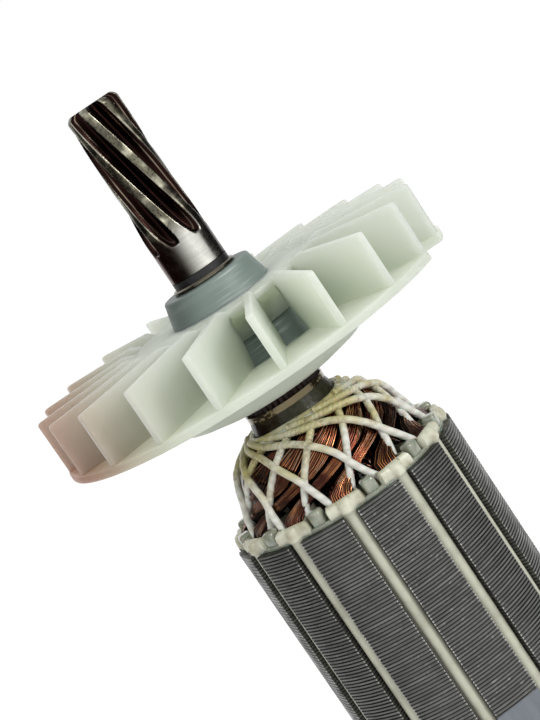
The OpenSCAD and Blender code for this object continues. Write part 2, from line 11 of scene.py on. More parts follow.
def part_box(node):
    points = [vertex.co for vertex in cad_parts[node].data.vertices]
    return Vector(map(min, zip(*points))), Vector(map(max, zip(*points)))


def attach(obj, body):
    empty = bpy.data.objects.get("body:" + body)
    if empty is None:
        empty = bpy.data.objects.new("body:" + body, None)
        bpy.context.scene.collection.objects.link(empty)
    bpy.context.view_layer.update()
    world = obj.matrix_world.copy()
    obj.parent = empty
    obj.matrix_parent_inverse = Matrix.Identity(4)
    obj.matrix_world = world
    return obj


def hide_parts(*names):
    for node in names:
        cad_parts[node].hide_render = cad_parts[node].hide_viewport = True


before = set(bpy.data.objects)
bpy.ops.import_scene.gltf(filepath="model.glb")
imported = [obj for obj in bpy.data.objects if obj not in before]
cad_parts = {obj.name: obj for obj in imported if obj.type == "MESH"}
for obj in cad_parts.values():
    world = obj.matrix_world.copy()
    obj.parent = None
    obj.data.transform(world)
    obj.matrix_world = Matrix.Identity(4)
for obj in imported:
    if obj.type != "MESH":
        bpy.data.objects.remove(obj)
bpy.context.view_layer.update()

bl_info = {
    "name": "Motor armature looks",
    "version": (1, 0, 0),
    "blender": (4, 5, 0),
    "location": "View3D > Sidebar > Armature",
    "description": "Dresses the packed armature in wire, cord, sheet steel, paper and nylon",
    "category": "Object",
}

MM = 0.001


def mm_box(node):
    """Lowest and highest corner of a CAD node, in millimetres."""
    low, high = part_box(node)
    return [v / MM for v in low], [v / MM for v in high]


def heights(node):
    """Lowest and highest point of a CAD node along the shaft, in millimetres."""
    low, high = mm_box(node)
    return low[2], high[2]


CORE_LOW, CORE_TOP = heights("core")
CORE_MID, CORE_HALF = (CORE_TOP + CORE_LOW) / 2, (CORE_TOP - CORE_LOW) / 2
CORE_R = mm_box("core")[1][0]
ENDS = ((CORE_TOP, 1), (CORE_LOW, -1))
SHAFT_LOW, SHAFT_TOP = heights("shaft")
FAN_LOW, FAN_TOP = heights("fan")
FAN_R = mm_box("fan")[1][1]
SLEEVE_R = mm_box("rear_sleeve")[1][0]
SLEEVE_TOP = heights("front_sleeve")[1]
COMM_LOW, COMM_TOP = heights("commutator_bars")
PAPER_OVER = heights("slot_liner_01")[1] - CORE_TOP

SLOTS = 12
PITCH = 360 / SLOTS
VIEW_SIDE = -90
FIRST_SLOT = -4.8 + VIEW_SIDE
SLOT_ANGLES = [FIRST_SLOT + i * PITCH for i in range(SLOTS)]


# ---- Sizes and colours that a user would change ----

class ArmatureWinding(PropertyGroup):
    """Wire and cord of the winding."""
    wire_d: FloatProperty(name="Wire diameter", default=0.00042, unit="LENGTH",
                          description="Diameter of one enamelled wire")
    wires_across: IntProperty(name="Wires across", default=8, min=4, max=16,
                              description="Wires side by side on the outer face of a coil")
    cord_d: FloatProperty(name="Cord diameter", default=0.00104, unit="LENGTH",
                          description="Diameter of the lacing cord")
    copper: FloatVectorProperty(name="Copper", default=(0.24, 0.048, 0.015), size=3, subtype="COLOR",
                                description="Colour of a clean enamelled wire")
    cord: FloatVectorProperty(name="Cord", default=(0.82, 0.82, 0.77), size=3, subtype="COLOR",
                              description="Colour of clean cord")


class ArmatureBody(PropertyGroup):
    """Core, fan and shaft."""
    sheet_t: FloatProperty(name="Sheet thickness", default=0.0005, unit="LENGTH",
                           description="Thickness of one lamination")
    blade_t: FloatProperty(name="Blade thickness", default=0.00105, unit="LENGTH",
                           description="Thickness of a fan blade")
    nylon: FloatVectorProperty(name="Nylon", default=(0.555, 0.625, 0.495), size=3, subtype="COLOR",
                               description="Colour of the fan")
    collar: FloatVectorProperty(name="Collar", default=(0.205, 0.26, 0.24), size=3, subtype="COLOR",
                                description="Colour of the fan's collar")
    sheet: FloatVectorProperty(name="Sheet steel", default=(0.155, 0.156, 0.148), size=3, subtype="COLOR",
                               description="Colour of the laminations' edges")


class ArmatureStage(PropertyGroup):
    """Camera and light."""
    lens: FloatProperty(name="Lens", default=98.5, description="Focal length in millimetres")
    key_power: FloatProperty(name="Key light", default=1.35, description="Power of the main lamp in watts")
    fill_power: FloatProperty(name="Fill light", default=0.5, description="Power of the fill lamp in watts")


def winding_settings():
    return bpy.context.scene.armature_winding


def body_settings():
    return bpy.context.scene.armature_body


# ---- Node helpers ----

class Finish:
    """A material with its Principled shader and short ways to add nodes."""

    def __init__(self, name, colour, roughness, metallic=0.0, **sockets):
        self.material = bpy.data.materials.new(name)
        self.material.use_nodes = True
        self.tree = self.material.node_tree
        self.shader = self.tree.nodes["Principled BSDF"]
        self.shader.inputs["Base Color"].default_value = (*colour, 1)
        self.shader.inputs["Roughness"].default_value = roughness
        self.shader.inputs["Metallic"].default_value = metallic
        for socket, value in sockets.items():
            label = socket.replace("_", " ").title().replace("Ior", "IOR")
            self.shader.inputs[label].default_value = value
        self.place = self.add("ShaderNodeTexCoord").outputs["Object"]
        self.normal = None

    def add(self, kind, **values):
        node = self.tree.nodes.new(kind)
        for name, value in values.items():
            setattr(node, name, value)
        return node

    def link(self, source, target):
        self.tree.links.new(source, target)

    def feed(self, socket, value):
        """Links a socket to another node's output, or gives it a plain value or colour."""
        if isinstance(value, bpy.types.NodeSocket):
            self.link(value, socket)
        elif isinstance(value, tuple) and socket.type == "RGBA":
            socket.default_value = (*value, 1)
        else:
            socket.default_value = value

    def math(self, operation, a, b=0.5):
        node = self.add("ShaderNodeMath", operation=operation)
        self.feed(node.inputs[0], a)
        self.feed(node.inputs[1], b)
        return node.outputs[0]

    def times(self, a, b):
        return self.math("MULTIPLY", a, b)

    def away(self, value, centre):
        """How far a value lies from a centre, on either side."""
        return self.math("ABSOLUTE", self.math("SUBTRACT", value, centre))

    def axis(self, name):
        split = self.add("ShaderNodeSeparateXYZ")
        self.link(self.place, split.inputs[0])
        return split.outputs[name]

    def angle(self):
        """Angle round the shaft, in radians from the view side, to the right positive."""
        return self.math("ARCTAN2", self.axis("X"), self.times(self.axis("Y"), -1.0))

    def stretched(self, scale):
        node = self.add("ShaderNodeMapping")
        self.link(self.place, node.inputs["Vector"])
        node.inputs["Scale"].default_value = scale
        return node.outputs[0]

    def texture(self, node, output, vector, **inputs):
        """A texture's output, on Object coordinates or on the vector given."""
        self.link(vector or self.place, node.inputs["Vector"])
        for name, value in inputs.items():
            node.inputs[name.title()].default_value = value
        return node.outputs[output]

    def cloud(self, scale, detail=3.0, vector=None):
        return self.texture(self.add("ShaderNodeTexNoise"), "Fac", vector,
                            scale=scale, detail=detail, roughness=0.55)

    def specks(self, scale):
        """Distance to the nearest of many scattered points."""
        return self.texture(self.add("ShaderNodeTexVoronoi"), "Distance", None, scale=scale)

    def braid(self, scale, along, across):
        """Diagonal bands over two values that run along and round a cord."""
        course = self.add("ShaderNodeCombineXYZ")
        self.feed(course.inputs[0], along)
        self.feed(course.inputs[1], across)
        wave = self.add("ShaderNodeTexWave", bands_direction="DIAGONAL")
        return self.texture(wave, "Fac", course.outputs[0], scale=scale)

    def ramp(self, factor, low, high, start=0.0, end=1.0):
        """A value that goes from start to end while factor goes from low to high."""
        node = self.add("ShaderNodeMapRange", clamp=True, interpolation_type="SMOOTHSTEP")
        self.feed(node.inputs["Value"], factor)
        for name, value in (("From Min", low), ("From Max", high), ("To Min", start), ("To Max", end)):
            node.inputs[name].default_value = value
        return node.outputs["Result"]

    def patches(self, scale, detail, low, high, start=0.0, end=1.0, vector=None):
        """A cloud sharpened by a ramp."""
        return self.ramp(self.cloud(scale, detail, vector), low, high, start, end)

    def mix(self, factor, a, b):
        node = self.add("ShaderNodeMix", data_type="RGBA")
        self.feed(node.inputs["Factor"], factor)
        self.feed(node.inputs[6], a)
        self.feed(node.inputs[7], b)
        return node.outputs[2]

    def attribute(self, name):
        return self.add("ShaderNodeAttribute", attribute_name=name).outputs["Fac"]

    def colour(self, value):
        self.feed(self.shader.inputs["Base Color"], value)

    def rough(self, value):
        self.feed(self.shader.inputs["Roughness"], value)

    def bump(self, height, distance, strength):
        node = self.add("ShaderNodeBump")
        self.feed(node.inputs["Height"], height)
        node.inputs["Distance"].default_value = distance
        node.inputs["Strength"].default_value = strength
        if self.normal:
            self.link(self.normal, node.inputs["Normal"])
        self.normal = node.outputs["Normal"]
        self.link(self.normal, self.shader.inputs["Normal"])


# ---- Modelling helpers ----

def lerp(a, b, t):
    return a + (b - a) * t


def limited(value, low=0, high=1):
    return min(max(value, low), high)


def round_point(radius, height, angle):
    turn = radians(angle)
    return Vector((radius * cos(turn), radius * sin(turn), height))


def squeeze(vertex, scale):
    """Scales a vertex's distance from the shaft axis."""
    vertex.co.x *= scale
    vertex.co.y *= scale


def mark(mesh, name, value_of):
    """Gives each vertex a number that the piece's finish reads."""
    marks = mesh.attributes.new(name, "FLOAT", "POINT")
    for vertex in mesh.vertices:
        marks.data[vertex.index].value = value_of(vertex)


def start_clean():
    """Object mode with nothing selected."""
    if bpy.context.mode != "OBJECT":
        bpy.ops.object.mode_set(mode="OBJECT")
    bpy.ops.object.select_all(action="DESELECT")


def pick(piece):
    start_clean()
    piece.select_set(True)
    bpy.context.view_layer.objects.active = piece


def settle(piece, name):
    """Names a piece and puts its place into its mesh."""
    pick(piece)
    bpy.ops.object.transform_apply(location=True, rotation=True, scale=True)
    piece.name = name
    piece.data.name = name
    return piece


def coat(piece, finish):
    piece.data.materials.clear()
    piece.data.materials.append(finish.material)


def hand_over(piece, finish, slot, *nodes):
    """Gives a finished piece its material and its place in the frame; the slot argument is not used."""
    coat(piece, finish)
    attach(piece, "root")
    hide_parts(*nodes)


def dress(node, finish):
    """Gives a CAD node that stays its detailed material."""
    coat(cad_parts[node], finish)


def apply_all(piece):
    pick(piece)
    for modifier in list(piece.modifiers):
        bpy.ops.object.modifier_apply(modifier=modifier.name)


def soften(piece, width, segments):
    """Rounds the edges of a piece by a width in millimetres."""
    soft = piece.modifiers.new("soft", "BEVEL")
    soft.width = width * MM
    soft.segments = segments
    soft.limit_method = "ANGLE"
    apply_all(piece)


def smooth_by_angle(angle):
    bpy.ops.object.shade_smooth_by_angle(angle=radians(angle))


def edit_all():
    bpy.ops.object.mode_set(mode="EDIT")
    bpy.ops.mesh.select_all(action="SELECT")


def merge_all(distance):
    """Merges what lies closer than a distance, in edit mode."""
    bpy.ops.mesh.select_all(action="SELECT")
    bpy.ops.mesh.remove_doubles(threshold=distance)


def face_out(piece):
    """Points all faces of a piece outwards."""
    pick(piece)
    edit_all()
    bpy.ops.mesh.normals_make_consistent(inside=False)
    bpy.ops.object.mode_set(mode="OBJECT")


def new_object(name, data):
    piece = bpy.data.objects.new(name, data)
    bpy.context.collection.objects.link(piece)
    return piece


def from_points(name, points, faces):
    """A mesh from points in millimetres."""
    mesh = bpy.data.meshes.new(name)
    mesh.from_pydata([point * MM for point in points], [], faces)
    return new_object(name, mesh)


def skin(name, rings, closed):
    """A skin over rings of points in millimetres: a closed loop, or a bar with flat ends."""
    size = len(rings[0])
    count = size * len(rings)
    faces = []
    for k in range(len(rings) if closed else len(rings) - 1):
        for j in range(size):
            a, b = k * size + j, k * size + (j + 1) % size
            faces.append([a, (a + size) % count, (b + size) % count, b])
    if not closed:
        faces.append(list(range(size)))
        faces.append(list(range(count - size, count))[::-1])
    piece = from_points(name, [point for ring in rings for point in ring], faces)
    face_out(piece)
    return piece


def turned(name, profile, steps=96, smooth=35):
    """Spins a half section, given as radius and height in millimetres, round the shaft axis."""
    start_clean()
    bpy.ops.mesh.primitive_plane_add(size=MM, location=(0, 0, 0))
    piece = bpy.context.object
    edit_all()
    bpy.ops.mesh.merge(type="CENTER")
    x, z = profile[0]
    bpy.ops.transform.translate(value=(x * MM, 0, z * MM))
    for (x0, z0), (x1, z1) in zip(profile, profile[1:] + profile[:1]):
        bpy.ops.mesh.extrude_region_move(
            TRANSFORM_OT_translate={"value": ((x1 - x0) * MM, 0, (z1 - z0) * MM)})
    merge_all(1e-6)
    bpy.ops.mesh.select_all(action="SELECT")
    bpy.ops.mesh.spin(steps=steps, angle=tau, center=(0, 0, 0), axis=(0, 0, 1))
    merge_all(1e-6)
    bpy.ops.mesh.normals_make_consistent(inside=False)
    bpy.ops.object.mode_set(mode="OBJECT")
    smooth_by_angle(smooth)
    return settle(piece, name)


def threads(name, paths, diameter, bevel_resolution=1):
    """Round threads along lists of points in millimetres, made a mesh."""
    start_clean()
    curve = bpy.data.curves.new(name, "CURVE")
    curve.dimensions = "3D"
    curve.bevel_depth = diameter / 2
    curve.bevel_resolution = bevel_resolution
    curve.use_fill_caps = True
    for path in paths:
        spline = curve.splines.new("POLY")
        spline.points.add(len(path) - 1)
        for point, place in zip(spline.points, path):
            point.co = (*(c * MM for c in place), 1)
    pick(new_object(name, curve))
    bpy.ops.object.convert(target="MESH")
    bpy.ops.object.shade_smooth()
    return settle(bpy.context.object, name)


def joined(name, *pieces):
    start_clean()
    for piece in pieces:
        piece.select_set(True)
    bpy.context.view_layer.objects.active = pieces[0]
    bpy.ops.object.join()
    return settle(pieces[0], name)


def turn_to(piece, name, angle):
    """Turns a piece round the shaft axis by an angle in degrees."""
    piece.rotation_euler = (0, 0, radians(angle))
    return settle(piece, name)


def spread(piece, name, angles):
    """Copies of a piece, each with its own mesh, in place of the piece itself."""
    copies = []
    for i, angle in enumerate(angles, 1):
        pick(piece)
        bpy.ops.object.duplicate(linked=False)
        copies.append(turn_to(bpy.context.object, f"{name}_{i:02d}", angle))
    bpy.data.objects.remove(piece)
    return copies


# ---- Winding: the same course that the CAD coils take ----

HEAD_H = 0.69 * (SLEEVE_TOP - CORE_TOP)
NOSE_R = SLEEVE_R + 1.23
TIP_T, TOOTH_W, SLOT_FLOOR = 1.35, 3.2, 9.5
FIT, LINER_T, WEDGE_T, COIL_GAP = 0.02, 0.25, 0.45, 0.15
SLOT_TOP = CORE_R - TIP_T
ROOM_TOP = SLOT_TOP - WEDGE_T - 2 * FIT
ROOM_LOW = SLOT_FLOOR + FIT + LINER_T
ROOM = ROOM_TOP - ROOM_LOW
OUT_T, IN_T = 0.375 * ROOM, 0.39 * ROOM
OUT_R = ROOM_TOP - 0.068 * ROOM - OUT_T / 2
IN_R = ROOM_LOW + 0.068 * ROOM + IN_T / 2


def slot_half_width(r):
    half = radians(PITCH / 2)
    return r * tan(half) - TOOTH_W / 2 / cos(half)


def slot_room(r):
    """Width that a coil can fill in a slot, between the two walls of its paper."""
    return 2 * (slot_half_width(r) - LINER_T / cos(radians(PITCH / 2)) - COIL_GAP)


OUT_W = slot_room(OUT_R) - 2 * COIL_GAP
IN_W = slot_room(IN_R)
COIL_SPAN = 5 * PITCH
# A bundle's climb out of its slot to the nose, and its fall into the fifth next slot: how far out from
# the nose, how high and how far round. Beside them its outer and inner width and its thickness.
CLIMB = ((0.865, 0.415, 7), (0.68, 0.615, 21), (0.5, 0.8, 37), (0.3, 0.95, 54), (0.14, 1, 68), (0, 0.89, 82))
FALL = ((0.14, 0.715, 98), (0.38, 0.545, 115), (0.665, 0.405, 132))
SECTIONS = ((1.03, 0.94, 1), (0.97, 0.94, 1), (0.88, 0.88, 0.95), (0.69, 0.66, 0.86), (0.58, 0.5, 0.8),
            (0.55, 0.47, 0.73), (0.6, 0.6, 0.82), (0.66, 0.75, 0.9), (0.6, 0.78, 0.95))
END_TURN = [
    (OUT_R, 0, 0), (OUT_R, PAPER_OVER, 0),
    *((lerp(NOSE_R, OUT_R, out), rise * HEAD_H, angle) for out, rise, angle in CLIMB),
    *((lerp(NOSE_R, IN_R, out), rise * HEAD_H, angle) for out, rise, angle in FALL),
    (IN_R, PAPER_OVER + 0.4, COIL_SPAN), (IN_R, 0, COIL_SPAN)]
BUNDLE = [
    *[(OUT_W + 0.4, OUT_W - 0.4, OUT_T)] * 2,
    *((outer * OUT_W, inner * OUT_W, thick * OUT_T) for outer, inner, thick in SECTIONS),
    *[(IN_W - 0.6, IN_W + 0.6, IN_T)] * 2]
TURN_FIRST, TURN_LAST = 1, len(END_TURN) - 2


def spline_at(points, t):
    """Smooth curve through a list of points: the value at t, counted in points."""
    n = len(points) - 1
    i = limited(int(t), 0, n - 1)
    u = t - i
    a, b, c, d = (points[max(i - 1, 0)], points[i], points[i + 1], points[min(i + 2, n)])
    return [q + 0.5 * u * ((r - p) + u * ((2 * p - 5 * q + 4 * r - s) + u * (3 * q - p - 3 * r + s)))
            for p, q, r, s in zip(a, b, c, d)]


def bundle_frame(t, z0, up):
    """Centre, outward normal, sideways direction and section of a coil's bundle at t."""
    step = 0.02
    if t <= TURN_FIRST:
        before, after = END_TURN[0], END_TURN[1]
    elif t >= TURN_LAST:
        before, after = END_TURN[TURN_LAST], END_TURN[TURN_LAST + 1]
    else:
        before, after = spline_at(END_TURN, t - step), spline_at(END_TURN, t + step)
    here = spline_at(END_TURN, t)

    def place(point):
        return round_point(point[0], z0 + up * point[1], limited(point[2], 0, COIL_SPAN))
    run = (place(after) - place(before)).normalized()
    dr, dz = after[0] - before[0], after[1] - before[1]
    length = hypot(dr, dz)
    normal = round_point(dz / length, -up * dr / length, limited(here[2], 0, COIL_SPAN))
    side = run.cross(normal).normalized()
    return place(here), side.cross(run), side, spline_at(BUNDLE, t)


def strand_places(across):
    """Where the wires of a coil lie in its section: sideways -1 to 1, outwards -1 to 1."""
    places = [(-1 + 2 * k / (across - 1), 1) for k in range(across)]
    places += [(-1 + (2 * k + 1) / (across - 1), 0.72) for k in range(across - 1)]
    places += [(s, n) for n in (0.4, 0.1, -0.2, -0.5, -0.8) for s in (-1, 1)]
    places += [(-1 + 2 * k / (across // 2), -1) for k in range(across // 2 + 1)]
    return places


def strand_path(place, odd, across, z0, up, wire_r, rng):
    """One wire's course over a winding head: it sways, and every other wire dips where it is crowded."""
    s0, n0 = place
    sway = [0.25 * rng.uniform(-1, 1) + 0.5 * s0 * f for f in (1, -0.6, 0.8, 0.5)]
    inset = wire_r * 0.6
    corner = 0.35 if abs(n0) == 1 else 0.0
    points = []
    steps = 34
    for k in range(steps + 1):
        t = lerp(TURN_FIRST - 0.3, TURN_LAST + 0.3, k / steps)
        centre, normal, side, (outer_w, inner_w, thick) = bundle_frame(t, z0, up)
        loose = limited((t - 1.2) / 1.5) * limited((TURN_LAST - 0.5 - t) / 1.5)
        s = s0 + loose * (0.10 * sin(1.7 * t + 3 * sway[0]) + 0.07 * sway[1] * sin(3.1 * t + 2 * sway[2]))
        n = n0 + loose * 0.06 * sin(2.3 * t + 3 * sway[3])
        half = lerp(inner_w, outer_w, (n0 + 1) / 2) / 2 - corner - inset
        crowded = max(0, 1 - half / (across - 1) / wire_r) if odd else 0
        points.append(centre + normal * (n * (thick / 2 - inset) - 2 * wire_r * crowded) + side * s * half)
    return points


def bundle_core(name, shrink):
    """Closed loop of varnished copper inside the outer wires of a coil; it has no face mark, so its finish
    gives it the near-black painted shade.
    """
    corner = 0.3
    steps = 22
    rings = []
    for z0, up in ENDS:
        for k in range(steps + 1)[::up]:
            t = lerp(TURN_FIRST, TURN_LAST, k / steps)
            centre, normal, side, (outer_w, inner_w, thick) = bundle_frame(t, z0, up)
            h, a, b = thick / 2 - shrink, outer_w / 2 - shrink, inner_w / 2 - shrink
            middle = (a + b) / 2
            section = ((a - corner, h), (middle, 0), (b - corner, -h),
                       (corner - b, -h), (-middle, 0), (corner - a, h))
            rings.append([centre + normal * n + side * s for s, n in section][::up])
    piece = skin(name, rings, closed=True)
    bpy.ops.object.shade_smooth()
    return piece


# Heights above the core with the laced winding head's radius there, how far its copper leans round at the
# top, how high up pressing starts, and how far the copper lies inside that radius.
HEAD_PROFILE = ((0, 15.6), (2, 15.2), (4, 14.5), (5.8, 13.7), (7.5, 13.1), (9.3, 12.2), (10.3, 11.1),
                (11.1, 9.9), (12.0, 8.6), (12.7, 7.9), (14.4, 7.5))
HEAD_LEAN = 30
HEAD_FOOT = 2.2
UNDER_CORD = 1.15


def head_radius(height):
    for (h0, r0), (h1, r1) in zip(HEAD_PROFILE, HEAD_PROFILE[1:]):
        if height <= h1:
            return lerp(r0, r1, max(0, (height - h0) / (h1 - h0)))
    return HEAD_PROFILE[-1][1]


def press_heads(mesh):
    """Leans the copper of both heads and presses it in, so that the cord lies on it."""
    band, lean_low, lean_reach, ease, most_grown = 0.5, 2.4, 4.6, 1.5, 1.12
    widest = {}
    heads = []
    for vertex in mesh.vertices:
        x, y, z = (c / MM for c in vertex.co)
        height = z - CORE_TOP if z > CORE_TOP else CORE_LOW - z
        if height > HEAD_FOOT:
            radius = hypot(x, y)
            heads.append((vertex, height, radius))
            level = int(height / band)
            widest[level] = max(widest.get(level, 0), radius)
    inner = SLEEVE_R + 0.8
    for vertex, height, radius in heads:
        rise = limited((height - lean_low) / lean_reach)
        lean = radians(HEAD_LEAN) * rise * rise * (3 - 2 * rise)
        vertex.co.rotate(Matrix.Rotation(lean, 3, "Z"))
        share = height / band - 0.5
        level = int(share)
        low, high = widest.get(level, widest.get(level + 1)), widest.get(level + 1, widest.get(level))
        outer = lerp(low, high, share - level)
        wanted = head_radius(height) - UNDER_CORD
        full = min(most_grown, (wanted - inner) / (outer - inner))
        scale = lerp(1, full, min(1, (height - HEAD_FOOT) / ease))
        if radius > inner:
            squeeze(vertex, (inner + (radius - inner) * scale) / radius)


# ---- Finishes ----

def shaded(colour, factor):
    return tuple(c * factor for c in colour)


def copper_finish():
    """Enamelled wire: painted shade, near black, between the wires, and painted highlights and glints along
    their crests.
    """
    copper = tuple(winding_settings().copper)
    f = Finish("enamelled_copper", copper, 0.18, metallic=1.0, coat_weight=0.5, coat_roughness=0.04)
    lit = f.attribute("face")
    shade = f.mix(f.patches(150, 2, 0.4, 0.62), copper, (0.10, 0.017, 0.007))
    # painted highlight, orange, along the crests of the wires in patches
    crest = f.times(f.ramp(lit, 0.86, 0.97), f.patches(170, 2, 0.4, 0.52))
    shade = f.mix(crest, shade, (0.95, 0.41, 0.155))
    # painted glints, near white, on the tops of the crests
    painted_spark_glint = f.times(f.ramp(lit, 0.93, 0.99), f.patches(330, 2, 0.5, 0.58))
    shade = f.mix(painted_spark_glint, shade, (1.0, 0.88, 0.70))
    # painted shade, near black, where the copper faces in towards the heart of its head: between the wires
    # and on the heart itself
    f.colour(f.mix(f.ramp(lit, 0.66, 0.95), (0.004, 0.001, 0.001), shade))
    f.rough(f.patches(600, 2, 0.3, 0.7, 0.1, 0.22))
    f.bump(f.cloud(900, 2), 0.00002, 0.3)
    return f


def cord_finish():
    """Braided cord, white at the core and soaked with resin towards the sleeve, with painted shade in the
    gaps of the braid.
    """
    white = tuple(winding_settings().cord)
    resin, dirt, braid_gap_painted_shade = (0.60, 0.53, 0.25), (0.22, 0.15, 0.06), (0.42, 0.39, 0.27)
    dry, wet = (0.6, 0.6, 0.6), (0.25, 0.25, 0.25)
    f = Finish("lacing_cord", white, 0.5, subsurface_weight=0.15, subsurface_scale=0.0006)
    up = f.attribute("along")
    uneven = f.times(f.math("SUBTRACT", f.cloud(160, 3), 0.5), 1.6)
    stain = f.ramp(f.math("ADD", up, uneven), 0.48, 1.05)
    tone = f.mix(stain, white, resin)
    tone = f.mix(f.times(f.patches(900, 4, 0.53, 0.66), f.ramp(up, 0.25, 0.9, 0.08, 0.6)), tone, dirt)
    braid = f.braid(0.75, f.attribute("course"), f.attribute("twist"))
    # painted shade in the gaps between the strands of the braid
    f.colour(f.mix(f.times(braid, 0.3), tone, braid_gap_painted_shade))
    f.bump(braid, 0.00008, 0.6)
    f.rough(f.mix(stain, dry, wet))
    f.bump(f.cloud(3500, 3), 0.00012, 0.5)
    return f


def sheet_finish():
    """Edges of the stacked sheets, each of its own shade, with painted glints on the ridges towards the lit
    side, painted glints along the tooth edges and a milled cut.
    """
    steel, sheet_t = tuple(body_settings().sheet), body_settings().sheet_t
    gap, painted_ridge_glint_tone = (0.03, 0.03, 0.028), (0.34, 0.34, 0.31)
    f = Finish("sheet_steel_edges", steel, 0.38, metallic=0.75)
    level = f.math("DIVIDE", f.math("SUBTRACT", f.axis("Z"), CORE_LOW * MM), sheet_t)
    own = f.add("ShaderNodeTexWhiteNoise", noise_dimensions="1D")
    f.link(f.math("FLOOR", level), own.inputs["W"])
    ridge = f.mix(own.outputs["Value"], shaded(steel, 0.78), shaded(steel, 1.12))
    streak = f.patches(260, 4, 0.42, 0.62, vector=f.stretched((1, 1, 9)))
    ridge = f.mix(streak, ridge, shaded(steel, 0.66))
    # painted glints on the ridges, strongest a little right of the view side, where the light falls
    painted_ridge_glint = f.patches(1400, 2, 0.6, 0.75, vector=f.stretched((1, 1, 1.5)))
    lit_side = f.ramp(f.away(f.angle(), 0.15), 0.1, 0.75, 1.0, 0.15)
    ridge = f.mix(f.times(painted_ridge_glint, f.times(lit_side, 0.6)), ridge, painted_ridge_glint_tone)
    # painted glints, in dots, along the outer edges of the teeth
    edge = f.times(f.ramp(f.attribute("rim"), 0.72, 0.92), f.patches(1500, 2, 0.35, 0.6))
    ridge = f.mix(edge, ridge, shaded(steel, 3.2))
    stack = f.mix(f.ramp(f.away(f.math("FRACT", level), 0.5), 0.2, 0.44), ridge, gap)
    milled = f.mix(f.cloud(900, 3, f.stretched((1, 1, 0.12))), (0.13, 0.15, 0.17), (0.24, 0.26, 0.28))
    f.colour(f.mix(f.attribute("cut"), stack, milled))
    f.rough(f.patches(500, 3, 0.3, 0.7, 0.25, 0.48))
    f.bump(f.cloud(2600, 3), 0.00005, 0.5)
    return f


def paper_finish(name, colour):
    f = Finish(name, colour, 0.45, coat_weight=0.3, coat_roughness=0.2)
    f.colour(f.mix(f.patches(350, 4, 0.4, 0.75), colour, shaded(colour, 0.72)))
    f.bump(f.cloud(1200, 4), 0.0001, 0.5)
    return f


def wedge_finish():
    """Paper-like strip whose ends, outside the core, are cream."""
    f = paper_finish("wedge_card", (0.47, 0.46, 0.365))
    outside = f.ramp(f.away(f.axis("Z"), CORE_MID * MM), CORE_HALF * MM, CORE_HALF * MM + 0.0003)
    cream = f.mix(f.patches(420, 4, 0.4, 0.7), (0.68, 0.68, 0.55), (0.46, 0.43, 0.30))
    strip = f.mix(f.patches(260, 5, 0.4, 0.7), (0.54, 0.54, 0.43), (0.40, 0.395, 0.31))
    f.colour(f.mix(outside, strip, cream))
    return f


def nylon_finish():
    """Milky nylon with dark specks, a little dust and a painted brown reflection on its left."""
    nylon = tuple(body_settings().nylon)
    painted_reflection_cast, dust_tone, speck_tone = (0.21, 0.095, 0.07), (0.22, 0.20, 0.15), (0.06, 0.055, 0.045)
    f = Finish("milky_nylon", nylon, 0.3, subsurface_weight=1.0, subsurface_radius=(1.0, 1.0, 0.85),
               subsurface_scale=0.011, ior=1.5, specular_ior_level=0.3)
    milk = f.mix(f.cloud(90, 3), nylon, shaded(nylon, 0.93))
    # painted reflection, pink-brown, over the left of the fan
    tone = f.mix(f.ramp(f.axis("X"), -0.031, -0.008, 1.0, 0.0), milk, painted_reflection_cast)
    dust = f.times(f.ramp(f.attribute("dirt"), 0.5, 1.0), f.patches(500, 5, 0.48, 0.66))
    tone = f.mix(f.times(dust, 0.1), tone, dust_tone)
    speck = f.ramp(f.specks(190), 0.022, 0.034, 1.0, 0.0)
    f.colour(f.mix(f.times(speck, 0.8), tone, speck_tone))
    f.rough(f.patches(220, 3, 0.3, 0.7, 0.38, 0.52))
    f.bump(f.cloud(120, 2), 0.00005, 0.25)
    f.bump(f.cloud(2600, 3), 0.00002, 0.4)
    return f


def collar_finish():
    """Grey plastic with turning marks, with painted shade to the left and a painted sheen on the turning
    marks where it faces the view.
    """
    plain, painted_sheen_tone = tuple(body_settings().collar), (0.62, 0.68, 0.65)
    f = Finish("collar_plastic", plain, 0.5)
    marks = f.cloud(420, 3, f.stretched((0.25, 0.25, 7)))
    tone = f.mix(f.cloud(160, 3), plain, shaded(plain, 0.85))
    # painted shade: darker towards the left side
    tone = f.mix(f.ramp(f.angle(), -1.3, 0.1, 0.75, 0.0), tone, shaded(plain, 0.42))
    # painted sheen: lighter turning marks in a band a little right of the view side
    painted_sheen = f.times(f.ramp(marks, 0.5, 0.68), f.ramp(f.away(f.angle(), 0.35), 0.1, 0.55, 0.5, 0.05))
    f.colour(f.mix(painted_sheen, tone, painted_sheen_tone))
    f.rough(f.ramp(marks, 0.4, 0.7, 0.44, 0.6))
    f.bump(marks, 0.00001, 0.4)
    return f


